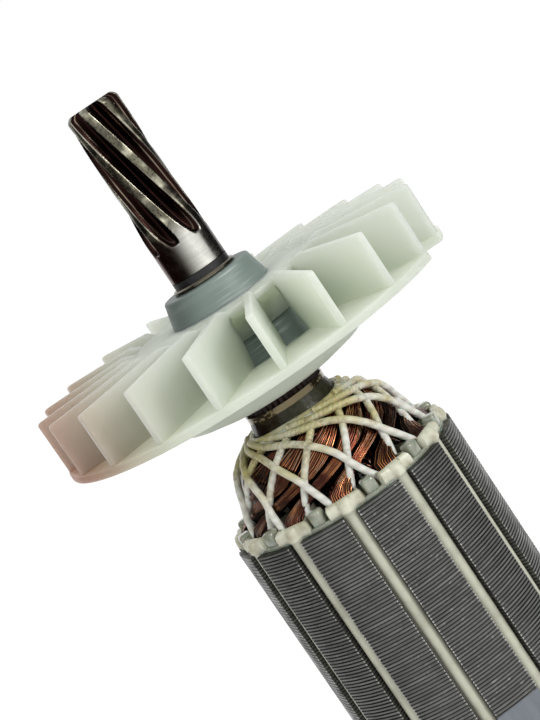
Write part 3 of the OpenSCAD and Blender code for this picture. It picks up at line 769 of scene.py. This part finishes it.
def steel_finish():
    """Bright journals with a painted reflection, a bright band right of centre with dark sides and red on the
    left, and a pinion with worn crests that carry painted highlights and glints, and dark grooves with
    painted highlights along their flanks.
    """
    painted_reflection_dark, painted_reflection_red = (0.050, 0.044, 0.035), (0.062, 0.020, 0.015)
    painted_edge_glint_tone, painted_flank_highlight_tone = (0.40, 0.38, 0.32), (0.34, 0.27, 0.20)
    f = Finish("steel_with_painted_reflections", (0.34, 0.31, 0.26), 0.3, metallic=1.0)
    groove, around = f.attribute("groove"), f.angle()
    turning = f.cloud(500, 3, f.stretched((0.2, 0.2, 5)))
    clean = f.mix(turning, (0.80, 0.79, 0.74), (0.50, 0.49, 0.44))
    # painted reflection: the turned steel shows bright only in a band right of the view side, dark to either
    # side
    side = f.away(around, 0.36)
    painted_reflection_mask = f.times(f.ramp(side, 0.08, 0.75), f.ramp(side, 1.4, 2.2, 1.0, 0.55))
    # painted reflection, dark red, on the left side
    red = f.times(f.ramp(around, -0.95, -0.35, 1.0, 0.0), f.ramp(around, -2.2, -1.6))
    clean = f.mix(painted_reflection_mask, clean, f.mix(red, painted_reflection_dark, painted_reflection_red))
    dotted = f.ramp(f.specks(2600), 0.25, 0.4, 1.0, 0.0)
    crest = f.mix(f.times(dotted, 0.7), (0.15, 0.14, 0.10), (0.015, 0.014, 0.011))
    # bright patches on the crests: worn metal and painted highlight
    crest = f.mix(f.patches(260, 3, 0.5, 0.66), crest, (0.74, 0.71, 0.54))
    crest = f.mix(f.patches(170, 2, 0.42, 0.6, 0.0, 0.7), crest, (0.045, 0.045, 0.04))
    tone = f.mix(f.ramp(f.axis("Z"), 0.0045, 0.0085), clean, crest)
    # painted glints along the edges of the crests' lands
    edge = f.times(f.ramp(groove, 0.005, 0.03), f.ramp(groove, 0.06, 0.14, 1.0, 0.0))
    tone = f.mix(f.times(edge, f.patches(240, 3, 0.45, 0.65, 0.1, 0.9)), tone, painted_edge_glint_tone)
    flank = f.mix(f.cloud(200, 2), (0.004, 0.003, 0.003), (0.026, 0.010, 0.008))
    # painted highlight, thin, along the flanks deep in the grooves
    streak = f.times(f.ramp(groove, 0.62, 0.74), f.ramp(groove, 0.78, 0.9, 1.0, 0.0))
    flank = f.mix(f.times(streak, f.patches(150, 2, 0.4, 0.6, 0.1, 0.9)), flank, painted_flank_highlight_tone)
    f.colour(f.mix(f.ramp(groove, 0.08, 0.2), tone, flank))
    f.rough(f.patches(700, 3, 0.3, 0.7, 0.18, 0.34))
    f.bump(turning, 0.00001, 0.5)
    return f


def varnish_finish():
    """Insulating sleeve under wet varnish, with painted light and shade: olive where it faces the view, dark
    red beside that.
    """
    f = Finish("sleeve_resin", (0.020, 0.017, 0.007), 0.16, specular_ior_level=0.3)
    # painted light and shade: olive in a band right of the view side, dark red towards the sides
    tone = f.mix(f.ramp(f.away(f.angle(), 0.45), 0.3, 1.3), (0.034, 0.031, 0.014), (0.013, 0.007, 0.004))
    f.colour(f.mix(f.patches(260, 4, 0.45, 0.7), tone, (0.055, 0.046, 0.02)))
    f.rough(f.patches(320, 3, 0.35, 0.65, 0.08, 0.42))
    f.bump(f.cloud(330, 3), 0.0004, 0.7)
    return f


def plain_finish(name, colour, roughness, metallic=0.0, grain=500, depth=0.00004, shine=0.5, **sockets):
    f = Finish(name, colour, roughness, metallic, specular_ior_level=shine, **sockets)
    f.colour(f.mix(f.patches(grain, 4, 0.35, 0.7), colour, shaded(colour, 0.6)))
    f.rough(f.patches(grain * 1.7, 3, 0.3, 0.7, roughness * 0.8, min(1, roughness * 1.3)))
    f.bump(f.cloud(grain * 4, 3), depth, 0.5)
    return f


# ---- Pieces ----

TEETH, TIP_R, TIP_H = 7, 4.0, 0.9
JOURNAL_R, JOURNAL_LEN = mm_box("seal_ring")[1][0], 4.5
TOOTH_DEPTH, TOOTH_LEAD, TOOTH_PHASE, TOOTH_LAND = 1.55, 90.0, radians(27.4), 0.36
RUNOUT = 5.0


def shaft_outline():
    """Height and radius along the uncut shaft, with many levels where the grooves are cut."""
    rear_r, seat_r, core_r, ring_r = 3.5, 4.5, 5.0, JOURNAL_R - 0.6
    rear_top, washer_low = COMM_LOW - 1.5, heights("retaining_washer")[0]
    levels = [(SHAFT_LOW, 0.0), (SHAFT_LOW, rear_r - 0.6), (SHAFT_LOW + 0.6, rear_r), (rear_top, rear_r),
              (rear_top, seat_r), (COMM_TOP, seat_r), (COMM_TOP, core_r), (SLEEVE_TOP, core_r),
              (SLEEVE_TOP, JOURNAL_R), (washer_low, JOURNAL_R), (washer_low, ring_r),
              (0.0, ring_r), (0.0, JOURNAL_R - 0.08), (0.08, JOURNAL_R)]
    steps = 84
    for k in range(steps + 1):
        z = lerp(JOURNAL_LEN - 0.3, SHAFT_TOP - TIP_H, k / steps)
        levels.append((z, lerp(JOURNAL_R, TIP_R, limited((z - JOURNAL_LEN - 2) / 6))))
    steps = 6
    for k in range(1, steps + 1):
        levels.append((SHAFT_TOP - TIP_H + TIP_H * k / steps, TIP_R - 0.85 * TIP_H * (k / steps) ** 2))
    return levels + [(SHAFT_TOP, 0.0)]


def cut_groove(vertex):
    """Presses the helical grooves in at one vertex, and returns how deep, for the finish."""
    x, y, z = (c / MM for c in vertex.co)
    radius = hypot(x, y)
    if z <= JOURNAL_LEN or radius < 0.01:
        return 0
    pitch, rise = tau / TEETH, JOURNAL_LEN + RUNOUT
    angle = atan2(y, x) - TOOTH_PHASE + tau * (z - JOURNAL_LEN) / TOOTH_LEAD
    cut = 1.0 if z >= rise else sqrt(max(0, 1 - ((rise - z) / RUNOUT) ** 2))
    across = abs((angle % pitch) - pitch / 2) / (pitch / 2) / (1 - TOOTH_LAND) / max(0.05, cut ** 0.5)
    shape = 0 if across > 1 else cos(pi / 2 * across) ** 0.62
    depth = TOOTH_DEPTH * cut * shape * min(1, radius / TIP_R)
    squeeze(vertex, max(0.05, (radius - depth) / radius))
    return min(1, depth / 0.9)


class ARMATURE_OT_drive_shaft(Operator):
    """Shaft with the helical pinion, its run-out and the bearing journals."""
    bl_idname = "armature.drive_shaft"
    bl_label = "Drive shaft"

    def execute(self, context):
        profile = [(radius, z) for z, radius in shaft_outline()]
        piece = turned("drive_shaft", profile, steps=TEETH * 28, smooth=30)
        mark(piece.data, "groove", cut_groove)
        hand_over(piece, steel_finish(), "shaft_steel", "shaft")
        return {"FINISHED"}


def coil_wires():
    """The wires of one coil over both heads."""
    settings = winding_settings()
    across, wire_r = settings.wires_across, settings.wire_d / MM / 2
    rng = random.Random(11)
    paths = []
    for k, place in enumerate(strand_places(across)):
        for z0, up in ENDS:
            paths.append(strand_path(place, k % 2, across, z0, up, wire_r, rng))
    return threads("coil_wires", paths, settings.wire_d)


def facing(vertex):
    """How squarely the copper faces away from the heart of its head, for the finish's painted shade between
    the wires and painted highlights on their crests.
    """
    heart_depth = 2
    x, y, z = vertex.co
    end, up = ENDS[0] if z > CORE_MID * MM else ENDS[1]
    away = Vector((x, y, z - (end - up * heart_depth) * MM))
    return max(0, vertex.normal.dot(away.normalized()))


class ARMATURE_OT_winding(Operator):
    """Twelve coils of enamelled wire."""
    bl_idname = "armature.winding"
    bl_label = "Winding"

    def execute(self, context):
        wires = coil_wires()
        mark(wires.data, "face", facing)
        coil = joined("first_coil", wires, bundle_core("coil_heart", 0.34))
        press_heads(coil.data)
        finish = copper_finish()
        for i, piece in enumerate(spread(coil, "wound_coil", SLOT_ANGLES), 1):
            hand_over(piece, finish, "copper_wire", f"coil_{i:02d}")
        return {"FINISHED"}


# Courses of the lacing cord over a winding head, as height above the core and angle round it, and the
# rings of cord round the sleeve, as height and radius.
OVER_COURSE = ((0.4, 4), (2.2, 0), (4.6, -5), (7, -10.5), (9.2, -20), (10.4, -30), (11.0, -41), (11.4, -54),
               (11.7, -66), (12.0, -78), (12.3, -92))
UNDER_COURSE = ((0.4, -3), (2.1, 0), (4.4, 4.5), (6.5, 10.5), (9.0, 20), (10.3, 27), (11.0, 33), (11.7, 42),
                (12.1, 54))
CORD_RINGS = ((12.25, 7.15), (11.75, 7.7))


def cord_course(course, base, sunk):
    """A cord's course over the head: from behind its slot's wedge up to the foot of the sleeve."""
    fine, bed, dive_below = 10, 0.55, 1.4
    points = []
    for k in range(fine * (len(course) - 1) + 1):
        height, turn = spline_at(course, k / fine)
        dive = max(0, dive_below - height) * 0.5
        points.append((head_radius(height) - bed - sunk - dive, height, base + turn))
    return points


def cord_paths(z0, up, cord_d, rng):
    """Centre lines of all the cord on one head: two courses from every slot, and the rings."""
    under_from, over_from, ripple = 8, -8.2, 0.12
    paths = []
    for slot in SLOT_ANGLES:
        for course, base, sunk in (
                (UNDER_COURSE, slot + under_from, 0.75 * cord_d), (OVER_COURSE, slot + over_from, 0)):
            stray, sway = rng.uniform(-0.8, 0.8), rng.uniform(0, 6)
            paths.append([round_point(r, z0 + up * z, angle + stray + 0.7 * sin(z * 0.6 + sway))
                          for r, z, angle in cord_course(course, base, sunk)])
    for level, radius in CORD_RINGS:
        paths.append([round_point(radius + ripple * sin(k / 3 + level),
                                  z0 + up * (level + ripple * cos(k / 4)), k * 5) for k in range(73)])
    return paths


def mark_cord(mesh, paths, z0):
    """Marks height over the core, length along the cord and place round it, for the finish."""
    marks = {key: mesh.attributes.new(key, "FLOAT", "POINT") for key in ("along", "course", "twist")}
    sides = round(len(mesh.vertices) / sum(len(path) for path in paths))
    index = 0
    for path in paths:
        for place in path:
            for side in range(sides):
                height = abs(mesh.vertices[index].co.z / MM - z0)
                marks["along"].data[index].value = min(1, height / 12)
                marks["course"].data[index].value = (place - path[0]).length
                marks["twist"].data[index].value = 2 * abs(side - sides / 2) / sides
                index += 1


class ARMATURE_OT_lacing(Operator):
    """Cord that ties both winding heads down."""
    bl_idname = "armature.lacing"
    bl_label = "Lacing"

    def execute(self, context):
        cord_d = winding_settings().cord_d
        finish = cord_finish()
        rng = random.Random(5)
        for side, (z0, up) in zip(("front", "rear"), ENDS):
            paths = cord_paths(z0, up, cord_d / MM, rng)
            piece = threads(f"lacing_{side}", paths, cord_d, 3)
            mark_cord(piece.data, paths, z0)
            hand_over(piece, finish, "lacing_cord", f"{side}_lacing")
        return {"FINISHED"}


MOUTH, LIP = 1.1, 0.45
CUT_LEN, CUT_DEPTH, CUT_SIDE = 11.8, 0.6, round_point(1, 0, FIRST_SLOT + 0.5 * PITCH)
RIDGE, EDGE_ANGLE = 0.1, 3.7


def sheet_outline():
    """Radius and angle of one sheet's points, and the share of the ridge that each one has."""
    arc = 8
    edge = degrees(asin(MOUTH / CORE_R))
    top_w, floor_w = slot_half_width(SLOT_TOP), slot_half_width(SLOT_FLOOR)
    wall = ((CORE_R - LIP, MOUTH), (SLOT_TOP, MOUTH), (SLOT_TOP, top_w), (SLOT_FLOOR, floor_w))
    points = []
    for base in SLOT_ANGLES:
        for k in range(arc + 1):
            points.append((CORE_R, base + lerp(edge, PITCH - edge, k / arc), 1))
        for r, w in (*((r, -w) for r, w in wall), *wall[::-1]):
            angle = base + PITCH + degrees(atan2(w, r))
            points.append((hypot(r, w), angle, 0.5 if r > SLOT_TOP else 0))
    return points


def one_sheet(outline):
    """One sheet: its outline extruded in three steps, the middle one full and the others drawn in."""
    start_clean()
    bpy.ops.mesh.primitive_circle_add(vertices=len(outline), radius=CORE_R * MM)
    piece = bpy.context.object
    for vertex, (r, angle, _) in zip(piece.data.vertices, outline):
        vertex.co = round_point(r - RIDGE, CORE_LOW, angle) * MM
    for rise in (0.13, 0.24, 0.13):
        top = max(vertex.co.z for vertex in piece.data.vertices)
        for vertex in piece.data.vertices:
            vertex.select = vertex.co.z > top - 1e-7
        bpy.ops.object.mode_set(mode="EDIT")
        bpy.ops.mesh.extrude_region_move(TRANSFORM_OT_translate={"value": (0, 0, rise * MM)})
        bpy.ops.mesh.select_all(action="DESELECT")
        bpy.ops.object.mode_set(mode="OBJECT")
    for vertex in piece.data.vertices:
        height = vertex.co.z / MM
        r, angle, share = outline[vertex.index % len(outline)]
        drawn_in = 0 if 0.1 < height - CORE_LOW < 0.4 else RIDGE * share
        vertex.co = round_point(r - drawn_in, height, angle) * MM
    return piece


def stack_sheets(piece, sheet_t):
    """Repeats the sheet up the core and closes both ends."""
    array = piece.modifiers.new("stack", "ARRAY")
    array.count = round((CORE_TOP - CORE_LOW) / sheet_t)
    array.use_relative_offset = False
    array.use_constant_offset = True
    array.constant_offset_displace = (0, 0, sheet_t * MM)
    array.use_merge_vertices = True
    array.merge_threshold = 1e-6
    apply_all(piece)
    bpy.ops.object.mode_set(mode="EDIT")
    bpy.ops.mesh.select_all(action="DESELECT")
    bpy.ops.mesh.select_non_manifold()
    bpy.ops.mesh.edge_face_add()
    merge_all(1e-7)
    face_out(piece)
    smooth_by_angle(28)


def tooth_edge(vertex):
    """1 on the outer edges of the teeth, for the finish's painted glints."""
    x, y, _ = vertex.co
    turn = degrees(atan2(y, x)) - FIRST_SLOT
    beside = abs((turn + PITCH / 2) % PITCH - PITCH / 2)
    return 1.0 if beside < EDGE_ANGLE and hypot(x, y) > (CORE_R - 0.3) * MM else 0.0


def cut_flat(vertex):
    """Flattens the balancing cut at one vertex, and returns 1 there, for the finish."""
    over = vertex.co.dot(CUT_SIDE) - (CORE_R - CUT_DEPTH) * MM
    if vertex.co.z >= (CORE_LOW + CUT_LEN) * MM or over <= 0:
        return 0.0
    vertex.co -= CUT_SIDE * over
    return 1.0


class ARMATURE_OT_laminations(Operator):
    """Stack of slotted sheets, each a ridge, with the balancing cut."""
    bl_idname = "armature.laminations"
    bl_label = "Laminations"

    def execute(self, context):
        piece = one_sheet(sheet_outline())
        stack_sheets(piece, body_settings().sheet_t / MM)
        piece = settle(piece, "sheet_stack")
        mark(piece.data, "rim", tooth_edge)
        mark(piece.data, "cut", cut_flat)
        hand_over(piece, sheet_finish(), "lamination_steel", "core")
        return {"FINISHED"}


# Levels of a wedge's end that stands out of the core: height over the core, thickness added, fillet at
# the rib, growth of the rib and width added on each side.
WEDGE_END = ((-0.6, 0, 0.03, 0, 0.0), (0.02, 0, 0.05, 0, 0.0), (0.12, 0.2, 0.5, 0.1, 0.1),
             (0.5, 0.42, 0.75, 0.3, 0.22), (PAPER_OVER - 0.85, 0.5, 0.7, 0.2, 0.2),
             (PAPER_OVER - 0.35, 0.42, 0.6, 0.0, 0.12), (PAPER_OVER - 0.1, 0.2, 0.4, -0.35, -0.08),
             (PAPER_OVER, -0.05, 0.2, -0.62, -0.4))
RIB_TOP = ((0.95, 0.6), (0.74, 0.28), (0.4, 0.07))


def wedge_half(width, level, lean):
    """Half section of a wedge at one level, from its underside to beside the rib's top."""
    thick, fillet, grow, outside = level
    low, high = SLOT_TOP - WEDGE_T - FIT, SLOT_TOP - FIT
    rib, top = RIB_TOP[0][0], CORE_R - 0.5 + grow
    middle = (slot_half_width(low) - 0.05) * 0.4
    return [(middle, low - 0.5 * thick), (width, low - 0.3 * thick + lean),
            (width + 0.1 * outside, low + 0.25 + lean), (width - 0.08, high + thick + lean),
            (rib + fillet, high + thick * 0.8 + lean * 0.5),
            (rib + 0.25 * fillet, high + 0.5 * fillet + 0.05),
            *((side, top - drop) for side, drop in RIB_TOP)]


def closing_wedge(rng):
    """One closing strip with its rib; its ends stand out, thick and rounded."""
    half = slot_half_width(SLOT_TOP - WEDGE_T - FIT) - 0.05
    lean_left, lean_right = rng.uniform(-0.15, 0.15), rng.uniform(-0.15, 0.15)
    rings = []
    for end, up in ENDS[::-1]:
        for rise, thick, fillet, grow, wide in WEDGE_END[::up]:
            outside = 1 if rise > 0 else 0
            level = thick, fillet, grow, outside
            right = wedge_half(half + wide, level, lean_right * outside)
            left = wedge_half(half + wide, level, lean_left * outside)
            section = [*right, (0, CORE_R - 0.5 + grow), *((-x, y) for x, y in left[::-1])]
            rings.append([Vector((y, x, end + up * rise)) for x, y in section])
    piece = skin("wedge", rings, closed=False)
    smooth_by_angle(50)
    return piece


def end_plate(name, z0, up):
    """Insulating disc with a rounded block on every tooth."""
    bore, rim = SLEEVE_R + 0.05, CORE_R - 1
    low, edge, top = z0 + up * 0.02, z0 + up * 0.45, z0 + up * 0.6
    disc = turned(name, [(bore, low), (rim, low), (rim, edge), (rim - 0.15, top), (bore, top)][::up])
    bpy.ops.mesh.primitive_cube_add(size=1, location=((CORE_R - 2) * MM, 0, (z0 + up * 1.45) * MM))
    block = bpy.context.object
    block.scale = (2.0 * MM, 1.95 * MM, 2.3 * MM)
    block = settle(block, "block")
    soften(block, 0.5, 4)
    piece = joined(name, disc, *spread(block, "block", [angle + PITCH / 2 for angle in SLOT_ANGLES]))
    smooth_by_angle(40)
    return piece


class ARMATURE_OT_papers(Operator):
    """Slot papers, wedges with their moulded ends, end plates and the sleeves on the shaft."""
    bl_idname = "armature.papers"
    bl_label = "Papers and sleeves"

    def execute(self, context):
        wedge = wedge_finish()
        liner = paper_finish("liner_paper", (0.40, 0.37, 0.27))
        rng = random.Random(3)
        for i, angle in enumerate(SLOT_ANGLES, 1):
            piece = turn_to(closing_wedge(rng), f"closing_wedge_{i:02d}", angle)
            hand_over(piece, wedge, "wedge_card", f"slot_wedge_{i:02d}")
            dress(f"slot_liner_{i:02d}", liner)
        plate = plain_finish("end_plate_resin", (0.35, 0.375, 0.295), 0.14, coat_weight=0.8,
                             subsurface_weight=0.3, subsurface_scale=0.001)
        sleeve = varnish_finish()
        for side, (z0, up) in zip(("front", "rear"), ENDS):
            piece = end_plate(f"block_plate_{side}", z0, up)
            hand_over(piece, plate, "plate_resin", f"{side}_end_plate")
            dress(f"{side}_sleeve", sleeve)
        return {"FINISHED"}


BLADES, BLADE_PHASE = 20, 3.6
BLADE_PITCH = 360 / BLADES
BLADE_ANGLES = [BLADE_PHASE + VIEW_SIDE + i * BLADE_PITCH for i in range(BLADES)]
BLADE_LEAD = radians(12)
PLATE_TOP, DISC_TOP = FAN_TOP - 8.55, FAN_TOP - 0.7
DISC_R, DISH_R, SHAFT_HOLE_R = 14.0, 17.5, 4.32
CHIP_MARGIN, CHIP_DEPTH = 1.6, 3.2


def fan_blade(thick):
    """One blade: its side view, between its outer and inner end, extruded and softened."""
    outer = Vector((FAN_R - 0.12, 0, 0))
    inner = (DISC_R - 0.6) * Vector((cos(BLADE_LEAD), sin(BLADE_LEAD), 0))
    run = (inner - outer).length
    side = [(0.1, PLATE_TOP - 0.5), (0.1, FAN_TOP - 0.95), (0.35, FAN_TOP - 0.7), (run - 2.4, FAN_TOP),
            (run, DISC_TOP - 0.1), (run, DISC_TOP - 1.05), (run - 0.5, DISC_TOP - 2),
            (run - 0.7, DISC_TOP - 4), (run - 2.3, PLATE_TOP - 0.4)]
    along = (inner - outer).normalized()
    across = Vector((-along.y, along.x, 0)) * thick
    piece = from_points("blade", [outer + along * u - across / 2 + Vector((0, 0, z)) for u, z in side],
                        [list(range(len(side)))])
    pick(piece)
    edit_all()
    bpy.ops.mesh.extrude_region_move(TRANSFORM_OT_translate={"value": across * MM})
    face_out(piece)
    soften(piece, 0.2, 3)
    return piece


def fan_dish():
    """Plate and dish in one turned piece."""
    plate, rim, foot, wall = PLATE_TOP, FAN_R, FAN_LOW, DISH_R
    outside = [
        (SHAFT_HOLE_R, foot), (10.9, foot), (wall - 3.2, foot + 0.9), (wall - 1.9, foot + 1.7),
        (wall - 0.9, foot + 2.7), (wall - 0.35, foot + 3.8), (wall, plate - 1.25),
        (rim - 0.3, plate - 1.25), (rim - 0.09, plate - 1.16), (rim, plate - 0.95), (rim, plate - 0.25)]
    inside = [
        (rim - 0.08, plate - 0.08), (rim - 0.25, plate), (wall - 0.8, plate), (wall - 1.25, plate - 0.15),
        (wall - 1.6, plate - 0.6), (wall - 1.8, plate - 1.2), (wall - 2.8, foot + 3.4),
        (wall - 4.3, foot + 2.1), (10.6, foot + 1.25), (SHAFT_HOLE_R, foot + 1.25)]
    return turned("dish", outside + inside, steps=240, smooth=50)


def chip_rim(mesh):
    """Breaks a piece out of the rim between two blades."""
    first = radians(BLADE_ANGLES[3] + CHIP_MARGIN)
    span = radians(BLADE_PITCH - 2 * CHIP_MARGIN)
    for vertex in mesh.vertices:
        x, y, z = vertex.co
        radius = hypot(x, y) / MM
        share = ((atan2(y, x) - first) % tau) / span
        if radius > FAN_R - CHIP_DEPTH and share < 1:
            rough = 0.12 * noise.noise(Vector((share * 9, z * 900, 0)))
            edge = FAN_R - CHIP_DEPTH * min(1, share / 0.34) - rough
            squeeze(vertex, min(radius, edge) / radius)


def fan_hub():
    """Disc that joins the blades' inner ends, thick towards its bore."""
    top, rim = DISC_TOP, DISC_R
    return turned("hub", [
        (7.67, top), (rim - 0.3, top), (rim - 0.08, top - 0.08), (rim, top - 0.25), (rim, top - 0.95),
        (rim - 1.6, top - 1.45), (rim - 2.6, top - 2.1), (rim - 3.4, top - 3), (9.6, top - 5.2),
        (8.6, top - 5.2)], steps=160, smooth=50)


def unite(piece, others):
    """Makes one closed mesh of a piece and others that run into it."""
    for other in others:
        union = piece.modifiers.new("union", "BOOLEAN")
        union.operation = "UNION"
        union.solver = "EXACT"
        union.object = other
        apply_all(piece)
        bpy.data.objects.remove(other)


def dusty(vertex):
    """How much dust gathers at a vertex: most just under the plate's top."""
    level = vertex.co.z / MM - PLATE_TOP
    return max(0, 1 - abs(level + 0.6) / 0.9)


class ARMATURE_OT_fan(Operator):
    """Blower fan of milky nylon: dish, hub and blades with soft edges."""
    bl_idname = "armature.fan"
    bl_label = "Fan"

    def execute(self, context):
        dish = fan_dish()
        chip_rim(dish.data)
        hub = fan_hub()
        blades = joined("blades", *spread(fan_blade(body_settings().blade_t / MM), "blade", BLADE_ANGLES))
        unite(dish, (hub, blades))
        piece = settle(dish, "blower_fan")
        smooth_by_angle(40)
        mark(piece.data, "dirt", dusty)
        hand_over(piece, nylon_finish(), "fan_nylon", "fan")
        return {"FINISHED"}


class ARMATURE_OT_rings(Operator):
    """Collar, washer, rubber ring and spacers."""
    bl_idname = "armature.rings"
    bl_label = "Rings and collar"

    def execute(self, context):
        dress("fan_collar", collar_finish())
        dress("seal_ring", plain_finish("seal_rubber", (0.008, 0.008, 0.008), 0.42))
        dress("retaining_washer", plain_finish("washer_steel", (0.16, 0.145, 0.11), 0.22, 1.0))
        dress("knurled_spacer", plain_finish("varnished_steel", (0.014, 0.005, 0.003), 0.28, 0.2, shine=0.2))
        dress("brass_ring", plain_finish("ring_brass", (0.16, 0.125, 0.06), 0.12, 0.9, grain=160,
                                         depth=0.0003, coat_weight=0.6))
        return {"FINISHED"}


class ARMATURE_OT_commutator(Operator):
    """Commutator bars and hub."""
    bl_idname = "armature.commutator"
    bl_label = "Commutator"

    def execute(self, context):
        dress("commutator_bars", plain_finish("bar_copper", (0.50, 0.22, 0.105), 0.42, 1.0, grain=260))
        dress("commutator_hub", plain_finish("hub_resin", (0.05, 0.03, 0.025), 0.35))
        return {"FINISHED"}


def white_for_camera(tree, output, dark, light):
    """Feeds the surface from two shaders: light for camera, glossy and transmission rays, else dark."""
    path = tree.nodes.new("ShaderNodeLightPath")
    seen = path.outputs["Is Camera Ray"]
    for kind in ("Is Glossy Ray", "Is Transmission Ray"):
        either = tree.nodes.new("ShaderNodeMath")
        either.operation = "ADD"
        either.use_clamp = True
        tree.links.new(seen, either.inputs[0])
        tree.links.new(path.outputs[kind], either.inputs[1])
        seen = either.outputs[0]
    mix = tree.nodes.new("ShaderNodeMixShader")
    for socket, source in zip(mix.inputs, (seen, dark, light)):
        tree.links.new(source, socket)
    tree.links.new(mix.outputs[0], tree.nodes[output].inputs["Surface"])


def paint(piece, colour, roughness=0.5):
    """Gives a stage object a plain material, and returns its tree and shader."""
    material = bpy.data.materials.new(piece.name)
    material.use_nodes = True
    shader = material.node_tree.nodes["Principled BSDF"]
    shader.inputs["Base Color"].default_value = (*colour, 1)
    shader.inputs["Roughness"].default_value = roughness
    piece.data.materials.append(material)
    return material.node_tree, shader


def white_floor():
    """White floor that lights the part less than it shows."""
    glow_strength, glow_share = 1.12, 0.85
    start_clean()
    bpy.ops.mesh.primitive_plane_add(size=6, location=(0, 0, (SHAFT_LOW - 0.3) * MM))
    floor = settle(bpy.context.object, "floor")
    tree, shader = paint(floor, (0.9, 0.9, 0.9), 0.9)
    glow = tree.nodes.new("ShaderNodeEmission")
    glow.inputs["Strength"].default_value = glow_strength
    partly = tree.nodes.new("ShaderNodeMixShader")
    partly.inputs[0].default_value = glow_share
    tree.links.new(shader.outputs[0], partly.inputs[1])
    tree.links.new(glow.outputs[0], partly.inputs[2])
    white_for_camera(tree, "Material Output", shader.outputs[0], partly.outputs[0])


def white_world(scene):
    """White surroundings that light the part less than they show."""
    scene.world = scene.world or bpy.data.worlds.new("studio")
    scene.world.use_nodes = True
    tree = scene.world.node_tree
    soft, bright = tree.nodes["Background"], tree.nodes.new("ShaderNodeBackground")
    for background, strength in ((soft, 0.72), (bright, 1.0)):
        background.inputs["Color"].default_value = (1, 1, 1, 1)
        background.inputs["Strength"].default_value = strength
    white_for_camera(tree, "World Output", soft.outputs[0], bright.outputs[0])


def dark_flags():
    """Dark boards beside the part, seen only in its reflections."""
    for name, x, y, width in (("left_flag", -0.42, -0.05, 0.8), ("right_flag", 0.42, 0.2, 0.6)):
        bpy.ops.mesh.primitive_plane_add(size=1, location=(x, y, -0.03), rotation=(pi / 2, 0, pi / 2))
        flag = bpy.context.object
        flag.scale = (width, 1.2, 1)
        flag = settle(flag, name)
        flag.visible_camera = flag.visible_diffuse = False
        flag.visible_transmission = flag.visible_shadow = False
        paint(flag, (0.02, 0.015, 0.012))


def place_camera(scene, lens):
    """Looks from the view side, a little down and rolled; returns its right, up and back."""
    pitch, roll, place = 0.1555, radians(34) - 0.0028, Vector((1.079, -267.43, 25.87))
    level, upright = Vector((1, 0, 0)), Vector((0, sin(pitch), cos(pitch)))
    right = level * cos(roll) - upright * sin(roll)
    up = level * sin(roll) + upright * cos(roll)
    back = right.cross(up)
    camera = new_object("camera", bpy.data.cameras.new("camera"))
    turn = Matrix((right, up, back)).transposed().to_4x4()
    camera.matrix_world = Matrix.Translation(place * MM) @ turn
    camera.data.lens = lens
    camera.data.sensor_width = 36
    camera.data.clip_start = 0.01
    scene.camera = camera
    return right, up, back


def place_lamp(name, away, power, size):
    """Square lamp that shines on the winding from a place away from it."""
    target = Vector((0, 0, -0.03))
    lamp = new_object(name, bpy.data.lights.new(name, "AREA"))
    lamp.data.energy = power
    lamp.data.size = size
    turn = away.to_track_quat("Z", "Y").to_matrix().to_4x4()
    lamp.matrix_world = Matrix.Translation(target + away) @ turn


class ARMATURE_OT_stage(Operator):
    """White floor, soft lamps and the camera."""
    bl_idname = "armature.stage"
    bl_label = "Stage"

    def execute(self, context):
        settings = context.scene.armature_stage
        white_floor()
        white_world(context.scene)
        dark_flags()
        right, up, back = place_camera(context.scene, settings.lens)
        place_lamp("key_lamp", right * 0.25 + up * 0.35 + back * 0.45, settings.key_power, 0.18)
        place_lamp("fill_lamp", -right * 0.5 + up * 0.05 + back * 0.35, settings.fill_power, 0.4)
        context.scene.view_settings.view_transform = "Standard"
        return {"FINISHED"}


STEPS = (
    ARMATURE_OT_drive_shaft, ARMATURE_OT_winding, ARMATURE_OT_lacing, ARMATURE_OT_laminations,
    ARMATURE_OT_papers, ARMATURE_OT_fan, ARMATURE_OT_rings, ARMATURE_OT_commutator, ARMATURE_OT_stage)
GROUPS = {"armature_winding": ArmatureWinding, "armature_body": ArmatureBody, "armature_stage": ArmatureStage}


class ARMATURE_PT_panel(Panel):
    """Lists the steps and the sizes they use."""
    bl_idname = "ARMATURE_PT_panel"
    bl_label = "Motor armature"
    bl_space_type = "VIEW_3D"
    bl_region_type = "UI"
    bl_category = "Armature"

    def draw(self, context):
        for step in STEPS:
            self.layout.operator(step.bl_idname)
        for group in GROUPS:
            settings = getattr(context.scene, group)
            for name in settings.bl_rna.properties.keys():
                if name not in ("rna_type", "name"):
                    self.layout.prop(settings, name)


def register():
    for kind in (*GROUPS.values(), *STEPS, ARMATURE_PT_panel):
        bpy.utils.register_class(kind)
    for name, kind in GROUPS.items():
        setattr(bpy.types.Scene, name, PointerProperty(type=kind))


def unregister():
    for name in GROUPS:
        delattr(bpy.types.Scene, name)
    for kind in (ARMATURE_PT_panel, *reversed(STEPS), *reversed(GROUPS.values())):
        bpy.utils.unregister_class(kind)


def main():
    register()
    for step in STEPS:
        group, name = step.bl_idname.split(".")
        getattr(getattr(bpy.ops, group), name)()


if __name__ == "__main__":
    main()
